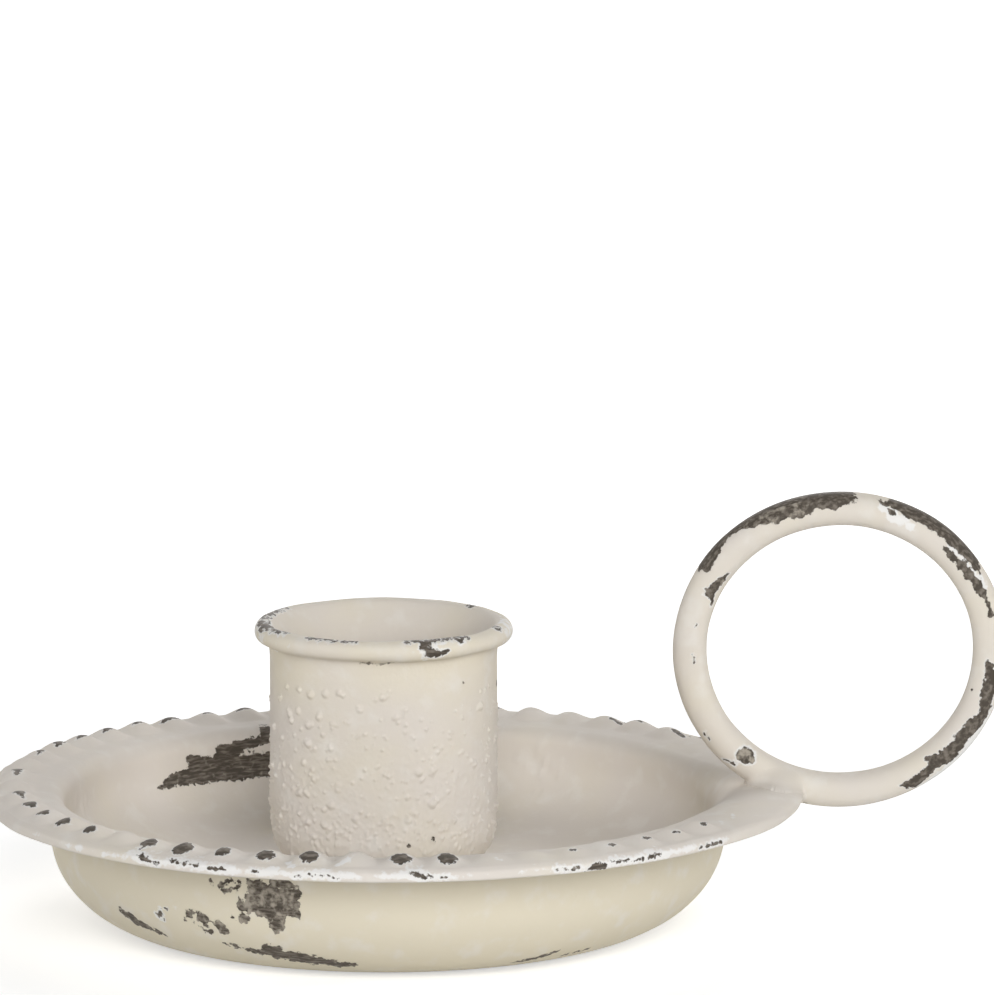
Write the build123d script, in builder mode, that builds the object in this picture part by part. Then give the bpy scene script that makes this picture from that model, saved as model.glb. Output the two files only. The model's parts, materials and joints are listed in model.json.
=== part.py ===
from build123d import *
import os

# A small cast-metal chamberstick: a shallow drip pan with a beaded flange, a candle cup screwed
# to the middle of its floor, and a finger ring brazed into a lug on its rim.
# Millimetres, +Z up. The origin is on the pan's axis, on the plane that the foot stands on.
# The finger ring stands on edge at the +X side, in the XZ plane.

# Screw and washer that hold the cup: an M4 slotted pan head and a plain washer
screw_radius = 2.0
screw_length = 8.0
head_radius = 4.0
head_height = 2.4
head_round = 0.8
slot_width = 1.2
slot_depth = 1.0
washer_radius = 4.5
washer_thickness = 0.8
washer_fit = 0.15
shank_fit = 0.25
thread_fit = 0.05
table_gap = 0.2
overrun = 1.0

# Drip pan
foot_radius = 28.0
foot_width = 2.8
foot_round = 0.5
floor_thickness = 1.6
recess_round = 1.0
wall_radius = 41.05
wall_straight = 3.6
wall_thickness = 1.7
well_straight = 3.95
well_floor_radius = 26.0

# Flange of the pan, and how much higher it is under the beads than at its edges
flange_width = 7.85
flange_height = 16.35
flange_thickness = 1.35
flange_camber = 0.4
throat_round = 1.0
edge_round = 0.4
well_lip_round = 2.0

# Beads cast on the flange, left out beside the finger ring
bead_inset = 3.3
bead_width = 5.0
bead_height = 1.15
bead_places = 54
bead_count = 45
first_bead_angle = 32.5

# Swell of the rim and the lug under it, which the finger ring is let into
swell_reach = 1.6
swell_shift = 6.5
lug_radius = 6.5
lug_depth = 1.5

# Candle cup, which stands a little off the pan's axis, away from the ring
cup_offset = 0.55
cup_wall = 2.48
cup_top = 37.1
cup_base_round = 7.0
lip_roll_radius = 1.35
lip_flare = 0.67
bore_radius = 11.3
bore_depth = 24.1
bore_corner_round = 2.0
mouth_depth = 7.6
crest_width = 0.55
tapped_depth = 6.6

# Finger ring: its bar, its half sizes on the bar's centre line, and its place at the lug
bar_radius = 2.1
ring_half_width = 18.2
ring_half_height = 17.36
ring_seat_drop = 0.54
ring_overhang = 4.3

# Filler metal: the film in the ring's seat, and the fillets that stand up from the lug
braze_film = 0.2
braze_length = 7.3
braze_half_width = 7.6
braze_crown_rise = 1.4
braze_crown_share = 0.6
braze_hollow_share = 0.15
# Stations along the fillets: how far along, and how wide the foot is there
braze_station_shares = [(0.0, 0.45), (0.45, 1.0), (1.0, 0.5)]

# Heights and places that follow
recess_radius = foot_radius - foot_width
screw_seat = table_gap + head_height
recess_depth = screw_seat + washer_thickness
floor_height = recess_depth + floor_thickness
well_radius = wall_radius - wall_thickness
well_rise = flange_height - well_straight
flange_radius = wall_radius + flange_width
flange_under = flange_height - flange_thickness
flange_crown = flange_height + flange_camber
wall_rise = flange_under - wall_straight
bead_circle_radius = flange_radius - bead_inset
lug_under = flange_under - lug_depth
lug_tip = flange_radius + swell_reach
cup_radius = bore_radius + cup_wall
bore_floor = cup_top - bore_depth
mouth_radius = cup_radius + lip_flare - crest_width
lip_under = cup_top - 2 * lip_roll_radius
ring_centre_x = lug_tip + ring_overhang
ring_centre_z = flange_height - ring_seat_drop + ring_half_height
braze_start = lug_tip - braze_length
braze_sole = flange_height - braze_film

os.makedirs("parts", exist_ok=True)

# Candle cup, turned about its axis: rounded base, upright wall, a lip rolled outwards, and a
# bore that flares gently towards the mouth
cup_middle = Vector(-cup_offset, 0, 0)
cup_plan = Plane(cup_middle)
cup_side = Plane(cup_middle, x_dir=Plane.XZ.x_dir, z_dir=Plane.XZ.z_dir)
with BuildPart() as candle_cup:
    with BuildSketch(cup_side):
        with BuildLine():
            base = Line((0, floor_height), (cup_radius - cup_base_round, floor_height))
            corner = TangentArc(base @ 1, (cup_radius, floor_height + cup_base_round), tangent=(1, 0))
            side = Line(corner @ 1, (cup_radius, lip_under - lip_flare))
            flare = TangentArc(side @ 1, (cup_radius + lip_flare, lip_under), tangent=(0, 1))
            roll = TangentArc(flare @ 1, (cup_radius + lip_flare, cup_top), tangent=(1, 0))
            crest = Line(roll @ 1, (mouth_radius, cup_top))
            mouth = TangentArc((bore_radius, cup_top - mouth_depth), crest @ 1, tangent=(0, 1))
            bore = Line(mouth @ 0, (bore_radius, bore_floor + bore_corner_round))
            hollow = TangentArc(
                bore @ 1, (bore_radius - bore_corner_round, bore_floor), tangent=(0, -1))
            Polyline(hollow @ 1, (0, bore_floor), (0, floor_height))
        make_face()
    revolve(axis=Axis(cup_middle, (0, 0, 1)))
    with BuildSketch(cup_plan.offset(floor_height)):
        Circle(screw_radius + thread_fit)
    extrude(amount=tapped_depth, mode=Mode.SUBTRACT)
candle_cup.part.label = "candle_cup"
export_step(candle_cup.part, "parts/candle_cup.step")

# Finger ring, a round bar bent to an oval and closed
with BuildPart() as finger_ring:
    with BuildLine(Plane.XZ) as ring_line:
        EllipticalCenterArc(
            (ring_centre_x, ring_centre_z), ring_half_width, ring_half_height, arc_size=360)
    with BuildSketch(Plane(ring_line.line @ 0, z_dir=ring_line.line % 0)):
        Circle(bar_radius)
    sweep(path=ring_line.line)
finger_ring.part.label = "finger_ring"
export_step(finger_ring.part, "parts/finger_ring.step")

# The room that the ring takes in its seat, with the film of filler metal round the bar
with BuildPart() as ring_seat:
    with BuildSketch(Plane(ring_line.line @ 0, z_dir=ring_line.line % 0)):
        Circle(bar_radius + braze_film)
    sweep(path=ring_line.line)

# One bead, the cap of a ball that is sunk into the flange
bead_ball_radius = (bead_width ** 2 / 4 + bead_height ** 2) / (2 * bead_height)
with BuildPart() as bead:
    Sphere(bead_ball_radius)
    split(bisect_by=Plane.XY.offset(bead_ball_radius - bead_height - flange_camber), keep=Keep.TOP)

# The rim's swell, a wider disc set off towards the ring, and the lug under it
with BuildPart() as rim_lug:
    with BuildSketch(Plane.XY.offset(flange_under)):
        with Locations((swell_shift, 0)):
            Circle(flange_radius + swell_reach - swell_shift)
    extrude(amount=flange_height - flange_under)
    with BuildSketch(Plane.XY.offset(lug_under)):
        with Locations((lug_tip - lug_radius, 0)):
            Circle(lug_radius)
    extrude(amount=flange_under - lug_under)
    fillet(rim_lug.edges().group_by(Axis.Z)[0], radius=edge_round)
    fillet(rim_lug.edges().group_by(Axis.Z)[-1], radius=edge_round)
    with BuildSketch(Plane.XY.offset(lug_under)):
        Circle(wall_radius)
    extrude(amount=flange_height - lug_under, mode=Mode.SUBTRACT)

# Drip pan, turned about its axis, then the swell and lug, the beads, and the ring's seat
with BuildPart() as dish_pan:
    with BuildSketch(Plane.XZ):
        with BuildLine():
            foot = Line((recess_radius, 0), (foot_radius, 0))
            wall = EllipticalCenterArc(
                (foot_radius, wall_rise), wall_radius - foot_radius, wall_rise,
                start_angle=270, arc_size=90)
            upright = Line(wall @ 1, (wall_radius, flange_under - throat_round))
            throat = TangentArc(
                upright @ 1, (wall_radius + throat_round, flange_under), tangent=(0, 1))
            under = Line(throat @ 1, (flange_radius, flange_under))
            edge = Line(under @ 1, (flange_radius, flange_height))
            top = ThreePointArc(
                edge @ 1, (bead_circle_radius, flange_crown), (well_radius, flange_height))
            inner = Line(top @ 1, (well_radius, well_rise))
            well = EllipticalCenterArc(
                (well_floor_radius, well_rise), well_radius - well_floor_radius,
                well_rise - floor_height, start_angle=270, arc_size=90)
            pan_floor = Line(well @ 0, (0, floor_height))
            middle = Line(pan_floor @ 1, (0, recess_depth))
            recess = Line(middle @ 1, (recess_radius, recess_depth))
            Line(recess @ 1, foot @ 0)
        make_face()
        for corner_point, corner_round in (
                (foot @ 0, foot_round), (recess @ 1, recess_round), (edge @ 0, edge_round),
                (edge @ 1, edge_round), (top @ 1, well_lip_round)):
            fillet(vertices().sort_by_distance(corner_point)[0], radius=corner_round)
    revolve(axis=Axis.Z)
    with BuildSketch(cup_plan.offset(recess_depth)):
        Circle(screw_radius + shank_fit)
    extrude(amount=floor_thickness, mode=Mode.SUBTRACT)
    add(rim_lug.part)
    with Locations((0, 0, flange_crown + bead_height - bead_ball_radius)):
        with PolarLocations(
                bead_circle_radius, bead_count, first_bead_angle, 360 * bead_count / bead_places):
            add(bead.part)
    add(ring_seat.part, mode=Mode.SUBTRACT)
dish_pan.part.label = "dish_pan"
export_step(dish_pan.part, "parts/dish_pan.step")

# Filler metal: hollow-sided fillets from the lug's top up to the bar, and the film in the seat
with BuildPart() as seat_film:
    with BuildSketch(Plane.XZ.offset(-braze_half_width)):
        with Locations((lug_tip, lug_under)):
            Rectangle(braze_length, flange_height - lug_under, align=(Align.MAX, Align.MIN))
    extrude(amount=2 * braze_half_width)
    add(ring_seat.part, mode=Mode.INTERSECT)

with BuildPart() as ring_braze:
    for along_share, width_share in braze_station_shares:
        station = braze_start + along_share * braze_length
        across = (station - ring_centre_x) / ring_half_width
        bar_height = ring_centre_z - ring_half_height * (1 - across ** 2) ** 0.5
        half_foot = width_share * braze_half_width
        half_crown = braze_crown_share * bar_radius
        crown_height = bar_height + braze_crown_rise
        sag = braze_hollow_share * (crown_height - braze_sole)
        with BuildSketch(Plane.YZ.offset(station)):
            with BuildLine():
                sole = Line((-half_foot, braze_sole), (half_foot, braze_sole))
                right_side = SagittaArc(sole @ 1, (half_crown, crown_height), sag)
                crown = Line(right_side @ 1, (-half_crown, crown_height))
                SagittaArc(crown @ 1, sole @ 0, sag)
            make_face()
    loft()
    add(seat_film.part)
    add(dish_pan.part, mode=Mode.SUBTRACT)
    add(finger_ring.part, mode=Mode.SUBTRACT)
ring_braze.part.label = "ring_braze"
export_step(ring_braze.part, "parts/ring_braze.step")

# Washer against the floor, in the recess
with BuildPart() as cup_washer:
    with BuildSketch(cup_plan.offset(screw_seat)):
        Circle(washer_radius)
        Circle(screw_radius + washer_fit, mode=Mode.SUBTRACT)
    extrude(amount=washer_thickness)
cup_washer.part.label = "cup_washer"
export_step(cup_washer.part, "parts/cup_washer.step")

# Screw, head down, with a slot across its head
with BuildPart() as cup_screw:
    with BuildSketch(cup_plan.offset(table_gap)):
        Circle(head_radius)
    extrude(amount=head_height)
    fillet(cup_screw.edges().sort_by(Axis.Z)[0], radius=head_round)
    with BuildSketch(cup_plan.offset(screw_seat)):
        Circle(screw_radius)
    extrude(amount=screw_length)
    with BuildSketch(cup_plan.offset(table_gap)):
        Rectangle(2 * head_radius + overrun, slot_width)
    extrude(amount=slot_depth, mode=Mode.SUBTRACT)
cup_screw.part.label = "cup_screw"
export_step(cup_screw.part, "parts/cup_screw.step")

for piece in (dish_pan, candle_cup, finger_ring, ring_braze, cup_washer, cup_screw):
    print(piece.part.label, round(piece.part.volume, 1), len(piece.part.solids()), piece.part.is_valid)
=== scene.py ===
"""Looks of a small cast-iron chamberstick in chalky cream paint, worn through to the dark metal.

Sizes are in millimetres in the part's own frame: +Z up, the origin on the pan's axis where its
foot stands, +X out through the finger ring, -Y towards the camera. Turns round the pan and the
cup are in degrees, counted from the front (-Y) towards the ring (+X).
"""

import json
import logging
import math
from collections.abc import Iterable, Sequence
from dataclasses import dataclass, field
from enum import Enum

import bpy
import numpy as np
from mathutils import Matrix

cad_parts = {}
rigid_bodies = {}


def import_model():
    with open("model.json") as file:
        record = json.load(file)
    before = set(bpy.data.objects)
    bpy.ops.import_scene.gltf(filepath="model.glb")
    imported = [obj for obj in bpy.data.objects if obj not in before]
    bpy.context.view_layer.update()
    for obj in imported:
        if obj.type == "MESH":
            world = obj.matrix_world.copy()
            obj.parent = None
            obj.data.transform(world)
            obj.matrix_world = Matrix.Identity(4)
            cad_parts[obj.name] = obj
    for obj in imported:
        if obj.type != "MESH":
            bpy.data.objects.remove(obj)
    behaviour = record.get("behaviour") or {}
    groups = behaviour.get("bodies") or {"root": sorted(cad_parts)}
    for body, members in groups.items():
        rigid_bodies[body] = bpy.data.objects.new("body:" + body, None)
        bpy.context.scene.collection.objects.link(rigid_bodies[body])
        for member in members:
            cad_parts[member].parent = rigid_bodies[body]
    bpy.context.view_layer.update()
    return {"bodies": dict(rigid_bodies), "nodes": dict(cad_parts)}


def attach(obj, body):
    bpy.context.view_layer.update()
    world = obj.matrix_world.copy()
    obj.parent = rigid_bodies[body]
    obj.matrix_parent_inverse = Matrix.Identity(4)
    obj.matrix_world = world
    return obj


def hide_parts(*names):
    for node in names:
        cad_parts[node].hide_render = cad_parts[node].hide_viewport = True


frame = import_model()

log = logging.getLogger("chamberstick")

MM = 0.001
FULL_TURN = 360.0
TINY = 1e-9
# Depths inside bare places, in millimetres: of a point that none reaches, and the most that is kept
FAR_OUTSIDE = -9.0
DEPTH_LIMIT = 2.0
Array = np.ndarray
Pair = tuple[float, float]
Waves = tuple[float, int]
Layers = tuple[tuple[float, float, int], ...]
Tree = bpy.types.NodeTree
Socket = bpy.types.NodeSocket
SMOOTH = {"interpolation_type": "SMOOTHSTEP"}
COLOURS = {"data_type": "RGBA"}
ADD = {"operation": "ADD"}
MULTIPLY = {"operation": "MULTIPLY"}
MULTIPLY_ADD = {"operation": "MULTIPLY_ADD"}
FRONT = np.array([0.0, -1.0, 0.0])


class Slot(Enum):
    """Material slots of the record."""

    PAN = "pan_paint"
    CUP = "cup_paint"
    RING = "ring_paint"
    STEEL = "fastener_steel"


class Zone(Enum):
    """Stretches of the pan's turned profile."""

    RECESS = "recess"
    WALL = "wall"
    EDGE = "edge"
    TOP = "top"
    WELL = "well"
    FLOOR = "floor"


class Bared(Enum):
    """What shows where the paint has gone."""

    IRON = "iron"
    PRIMER = "primer"


class Bend(Enum):
    """How a stretch of a profile runs: straight, or in a quarter ellipse that starts level or upright."""

    NONE = "none"
    LEVEL = "level"
    UPRIGHT = "upright"


# Numbers on grids


def ease(value: Array, low: float, high: float) -> Array:
    """Gives 0 below low, 1 above high, and between them the smooth curve 3t^2 - 2t^3.

    Where low is the greater of the two, it falls instead of rising.

    Args:
        value: Numbers of any shape.
        low: Where the rise starts.
        high: Where the rise ends.

    Returns:
        An array of the shape of value.
    """
    share = np.clip((value - low) / (high - low), 0, 1)
    return share * share * (3 - 2 * share)


def wrap(turn: Array) -> Array:
    """Brings an angle in degrees between -180 and 180."""
    return (turn + FULL_TURN / 2) % FULL_TURN - FULL_TURN / 2


def waves(points: Array, size: float, seed: int, count: int = 28) -> Array:
    """Gives a smooth random field, mostly between -1 and 1, with lumps about one size across.

    The sum of plane sine waves with seeded directions and phases. Their wavelengths are spread
    from 1.4 to 3.2 times the size, and the sum is divided by the root of twice their number, so
    that a peak of two standard deviations is 1.

    Args:
        points: Places in millimetres, (..., 3).
        size: Width of a lump in millimetres.
        seed: Seed of the random draws.
        count: How many waves are added.

    Returns:
        An array of the shape of points without its last axis.
    """
    draw = np.random.default_rng(seed)
    heading = draw.normal(size=(3, count))
    heading /= np.linalg.norm(heading, axis=0)
    pace = 2 * np.pi / (size * draw.uniform(1.4, 3.2, count))
    phase = draw.uniform(0, 2 * np.pi, count)
    return np.sin(points @ (heading * pace) + phase).sum(-1) / math.sqrt(2 * count)


def ripples(points: Array, layers: Layers) -> Array:
    """Adds up fields of waves, each layer a height, a lump's size and a seed."""
    return sum(height * waves(points, size, seed) for height, size, seed in layers)


def dents(points: Array, size: float, seed: int) -> Array:
    """Gives (waves + 1) / 2, kept between 0 and 1."""
    return np.clip(waves(points, size, seed) + 1, 0, 2) / 2


def stretch(start: Array, end: Array, rows: int, bend: Bend) -> Array:
    """Divides one stretch of a profile into rows, without its end.

    Straight, the points are start + t (end - start). On a quarter ellipse they are
    centre + (start - centre) cos t + (end - centre) sin t, and the centre has the start's radius
    and the end's height where the curve starts level, or the other way round.

    Args:
        start: First radius and height of each column, (columns, 2).
        end: Last radius and height of each column.
        rows: How many points to give.
        bend: How the stretch runs.

    Returns:
        An array (rows, columns, 2) of radii and heights.
    """
    share = np.linspace(0, 1, rows, endpoint=False)[:, None, None]
    if bend is Bend.NONE:
        return start + share * (end - start)
    level = bend is Bend.LEVEL
    centre = np.where([level, not level], start, end)
    turn = share * np.pi / 2
    return centre + (start - centre) * np.cos(turn) + (end - centre) * np.sin(turn)


def trace(start: Array, steps: Sequence[tuple[Array, int, Bend]]) -> list[Array]:
    """Follows a profile from its start: each step is a stretch's end, its rows and its bend."""
    starts = [start, *(end for end, _, _ in steps)]
    return [stretch(here, *step) for here, step in zip(starts, steps)]


def outward(grid: Array, closed_rows: bool) -> Array:
    """Gives the unit normal at each point of a grid that goes all the way round along its columns.

    The cross product of the central differences along the columns and along the rows.

    Args:
        grid: Points, (rows, columns, 3).
        closed_rows: Whether the last row joins the first.

    Returns:
        Unit vectors, (rows, columns, 3).
    """
    along = np.roll(grid, -1, 1) - np.roll(grid, 1, 1)
    if closed_rows:
        across = np.roll(grid, -1, 0) - np.roll(grid, 1, 0)
    else:
        across = np.gradient(grid, axis=0)
    normal = np.cross(along, across)
    return normal / np.maximum(np.linalg.norm(normal, axis=-1, keepdims=True), TINY)


def add_object(name: str, data: bpy.types.ID) -> bpy.types.Object:
    """Adds an object that holds the data to the scene, at the origin."""
    made = bpy.data.objects.new(name, data)
    bpy.context.scene.collection.objects.link(made)
    return made


def skin(name: str, grid: Array, closed_rows: bool, fields: dict[str, Array]) -> bpy.types.Object:
    """Makes a closed mesh from a grid of points that goes all the way round along its columns.

    Each point is joined to its neighbours on the next row and the next column. The last row
    joins the first, or else the first and last rows are each closed by a fan about their mean
    point. If the volume by the divergence theorem comes out negative, every face is turned over.

    Args:
        name: Name of the piece.
        grid: Points in millimetres, (rows, columns, 3).
        closed_rows: Whether the last row joins the first.
        fields: Numbers at the points, (rows, columns), kept as attributes under their names.

    Returns:
        The new object, at the origin, with its mesh in metres.
    """
    rows, columns = grid.shape[:2]
    index = np.arange(rows * columns).reshape(rows, columns)
    here = index if closed_rows else index[:-1]
    above = np.roll(index, -1, 0) if closed_rows else index[1:]
    quads = np.stack([here, np.roll(here, -1, 1), np.roll(above, -1, 1), above], -1).reshape(-1, 4)
    points = grid.reshape(-1, 3)
    values = {key: value.reshape(-1) for key, value in fields.items()}
    fans = np.zeros((0, 3), int)
    if not closed_rows:
        first, last = index[0], index[-1]
        points = np.concatenate([points, grid[0].mean(0)[None], grid[-1].mean(0)[None]])
        values = {key: np.append(value, [fields[key][0].mean(), fields[key][-1].mean()])
                  for key, value in values.items()}
        start, end = rows * columns, rows * columns + 1
        fans = np.concatenate([
            np.stack([np.roll(first, -1), first, np.full(columns, start)], -1),
            np.stack([last, np.roll(last, -1), np.full(columns, end)], -1)])
    thirds = np.concatenate([quads[:, [0, 1, 2]], quads[:, [0, 2, 3]], fans])
    a, b, c = (points[thirds[:, k]] for k in range(3))
    if np.einsum("ij,ij->i", a, np.cross(b, c)).sum() < 0:
        quads, fans = quads[:, ::-1], fans[:, ::-1]
    mesh = bpy.data.meshes.new(name)
    mesh.from_pydata((points * MM).tolist(), [], quads.tolist() + fans.tolist())
    for key, value in values.items():
        mesh.attributes.new(key, "FLOAT", "POINT").data.foreach_set("value", value.astype(np.float32))
    mesh.shade_smooth()
    return add_object(name, mesh)


def settle(piece: bpy.types.Object, material: bpy.types.Material,
           nodes: Sequence[str] = ()) -> None:
    """Dresses a piece, lets it ride on the part's one body and hides the nodes it stands for.

    Args:
        piece: The new piece, or a node of the frame that stays.
        material: Its finish.
        nodes: Nodes of the frame that the piece replaces.
    """
    piece.data.materials.clear()
    piece.data.materials.append(material)
    if nodes:
        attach(piece, "root")
        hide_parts(*nodes)
    log.info("%s: %d faces, %s", piece.name, len(piece.data.polygons), material.name)


# Crumbs that the sand mould left


@dataclass(frozen=True)
class Crumb:
    """A round lump on a casting: its turn, its height on the wall, its half width and its rise."""

    turn: float
    height: float
    half: float
    rise: float


def heap(crumbs: Iterable[Crumb], turn: Array, height: Array, radius: float) -> Array:
    """Gives how far the crumbs rise over a turned wall.

    Each crumb is a cap, rise (1 - d^2 / half^2) within its own half width, and where caps meet,
    the higher one counts.

    Args:
        crumbs: The lumps.
        turn: Turns of the columns in degrees, (columns,).
        height: Heights of the rows in millimetres, (rows,).
        radius: The wall's radius in millimetres.

    Returns:
        Rises in millimetres, (rows, columns).
    """
    total = np.zeros((len(height), len(turn)))
    for crumb in crumbs:
        x = radius * np.radians(wrap(turn - crumb.turn)) / crumb.half
        y = (height - crumb.height) / crumb.half
        near_columns = np.abs(x) < 1
        near_rows = np.abs(y) < 1
        square = x[near_columns][None] ** 2 + y[near_rows][:, None] ** 2
        patch = np.ix_(near_rows, near_columns)
        total[patch] = np.maximum(total[patch], crumb.rise * np.clip(1 - square, 0, 1))
    return total


# Places where the paint has gone


@dataclass(frozen=True)
class Loss:
    """A place where the paint has gone: dabs in a row, each a turn, a height and a half width.

    The turn is in degrees, the rest in millimetres. Ragged is how far the casting's grain moves
    its outline, halo is how far the white primer shows beyond it, and film is how much of a pale
    film still lies on the iron, from 0 to 1.
    """

    points: tuple[tuple[float, ...], ...]
    ragged: float = 0.25
    halo: float = 0.0
    film: float = 0.0
    bared: Bared = Bared.IRON

    def reach(self, turn: Array, height: Array, radius: Array) -> Array:
        """Gives how deep each point lies inside the row of dabs, negative outside it.

        For each stretch between two dabs, the half width where the point falls square on the
        stretch, less the point's distance from there.

        Args:
            turn: Turn of each point in degrees.
            height: Its height or, on a flat ring, its radius, in millimetres.
            radius: What one radian of turn is worth in millimetres.

        Returns:
            Depths in millimetres.
        """
        best = np.full(turn.shape, FAR_OUTSIDE)
        ends = self.points[1:] or self.points
        for (turn_a, height_a, half_a), (turn_b, height_b, half_b) in zip(self.points, ends):
            x = radius * np.radians(wrap(turn - turn_a))
            y = height - height_a
            run = radius * math.radians(turn_b - turn_a)
            rise = height_b - height_a
            share = np.clip((x * run + y * rise) / np.maximum(run * run + rise * rise, TINY), 0, 1)
            gap = np.hypot(x - share * run, y - share * rise)
            best = np.maximum(best, half_a + share * (half_b - half_a) - gap)
        return best


@dataclass(frozen=True)
class Patch(Loss):
    """A place where the paint has gone, by the corners of its outline, each a turn and a height."""

    def reach(self, turn: Array, height: Array, radius: Array) -> Array:
        """Gives how deep each point lies inside the outline, negative outside it.

        The distance to the nearest side, whose sign comes from how many sides lie above the
        point: an odd number is inside.

        Args:
            turn: Turn of each point in degrees.
            height: Its height or, on a flat ring, its radius, in millimetres.
            radius: What one radian of turn is worth in millimetres.

        Returns:
            Depths in millimetres.
        """
        middle = float(np.mean([corner[0] for corner in self.points]))
        x = radius * np.radians(wrap(turn - middle))
        nearest = np.full(turn.shape, -FAR_OUTSIDE)
        inside = np.zeros(turn.shape, bool)
        for (turn_a, y_a), (turn_b, y_b) in zip(self.points, self.points[1:] + self.points[:1]):
            x_a = radius * math.radians(turn_a - middle)
            x_b = radius * math.radians(turn_b - middle)
            run, rise = x_b - x_a, y_b - y_a
            share = np.clip(((x - x_a) * run + (height - y_a) * rise) / (run * run + rise * rise), 0, 1)
            nearest = np.minimum(nearest, np.hypot(x - x_a - share * run, height - y_a - share * rise))
            spans = (x_a > x) != (x_b > x)
            side_height = y_a + (x - x_a) * rise / np.where(spans, run, 1)
            inside ^= spans & (side_height > height)
        return np.where(inside, nearest, -nearest)


@dataclass
class Wear:
    """What is left of the paint on one casting: how deep each point lies in bare iron or primer."""

    turn: Array
    radius: Array
    grain: Array
    iron: Array = field(init=False)
    primer: Array = field(init=False)
    film: Array = field(init=False)

    def __post_init__(self) -> None:
        """Starts with the paint whole."""
        self.iron = np.full(self.turn.shape, FAR_OUTSIDE)
        self.primer = np.full(self.turn.shape, FAR_OUTSIDE)
        self.film = np.zeros(self.turn.shape)

    def add(self, losses: Iterable[Loss], across: Array, rows: Array | slice = slice(None)) -> None:
        """Takes the paint off in some places.

        Args:
            losses: The places, with their halos of primer.
            across: The height, or what stands for it, of each point in millimetres.
            rows: The grid's rows that they lie on.
        """
        for loss in losses:
            depth = loss.reach(self.turn[rows], across[rows], self.radius[rows])
            depth = depth + loss.ragged * self.grain[rows]
            if loss.bared is Bared.IRON:
                self.film[rows] = np.where(depth > self.iron[rows], loss.film, self.film[rows])
                self.iron[rows] = np.maximum(self.iron[rows], depth)
            if loss.bared is Bared.PRIMER or loss.halo:
                self.primer[rows] = np.maximum(self.primer[rows], depth + loss.halo)

    def fields(self, cream: Array | float) -> dict[str, Array]:
        """Gives the attributes that the paint reads.

        Args:
            cream: From 0 for the greyer paint to 1 for the yellower.

        Returns:
            The attributes iron, primer, film and cream.
        """
        limits = (-DEPTH_LIMIT, DEPTH_LIMIT)
        return {"iron": np.clip(self.iron, *limits), "primer": np.clip(self.primer, *limits),
                "film": self.film, "cream": cream + 0 * self.film}


def grain_of(grid: Array, size: float, seed: int, weight: float = 0.6) -> Array:
    """Gives the casting's grain, in lumps and half lumps, which makes the bare places ragged."""
    return ripples(grid, ((weight, size, seed), (weight, size / 2, seed + 1)))


# Finishes


def linear(code: str) -> tuple[float, float, float, float]:
    """Turns an sRGB colour such as #DDD5C8 into the linear numbers that a shader takes."""
    parts = [int(code[k:k + 2], 16) / 255 for k in (1, 3, 5)]
    return (*(p / 12.92 if p <= 0.04045 else ((p + 0.055) / 1.055) ** 2.4 for p in parts), 1.0)


def add_node(tree: Tree, kind: str, settings: dict | None = None,
             links: dict | None = None, out: str | int = 0) -> Socket:
    """Adds a shader node.

    Args:
        tree: Node tree of the material.
        kind: Type name after ShaderNode, such as TexNoise.
        settings: Properties of the node, by name.
        links: For each input, by name or number, a number or colour, or an output to join to it.
        out: Name or number of the output to give back.

    Returns:
        One output of the node.
    """
    node = tree.nodes.new("ShaderNode" + kind)
    for key, value in (settings or {}).items():
        setattr(node, key, value)
    for key, value in (links or {}).items():
        if isinstance(value, Socket):
            tree.links.new(value, node.inputs[key])
        else:
            node.inputs[key].default_value = value
    return node.outputs[out] if node.outputs else node.inputs[0]


def empty_material(name: str) -> bpy.types.Material:
    """Makes a material whose node tree is empty."""
    made = bpy.data.materials.new(name)
    made.use_nodes = True
    made.node_tree.nodes.clear()
    return made


def per_size(size: float) -> float:
    """Gives the noise scale, in lumps per metre, of lumps that are size millimetres across."""
    return 1 / (size * MM)


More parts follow.
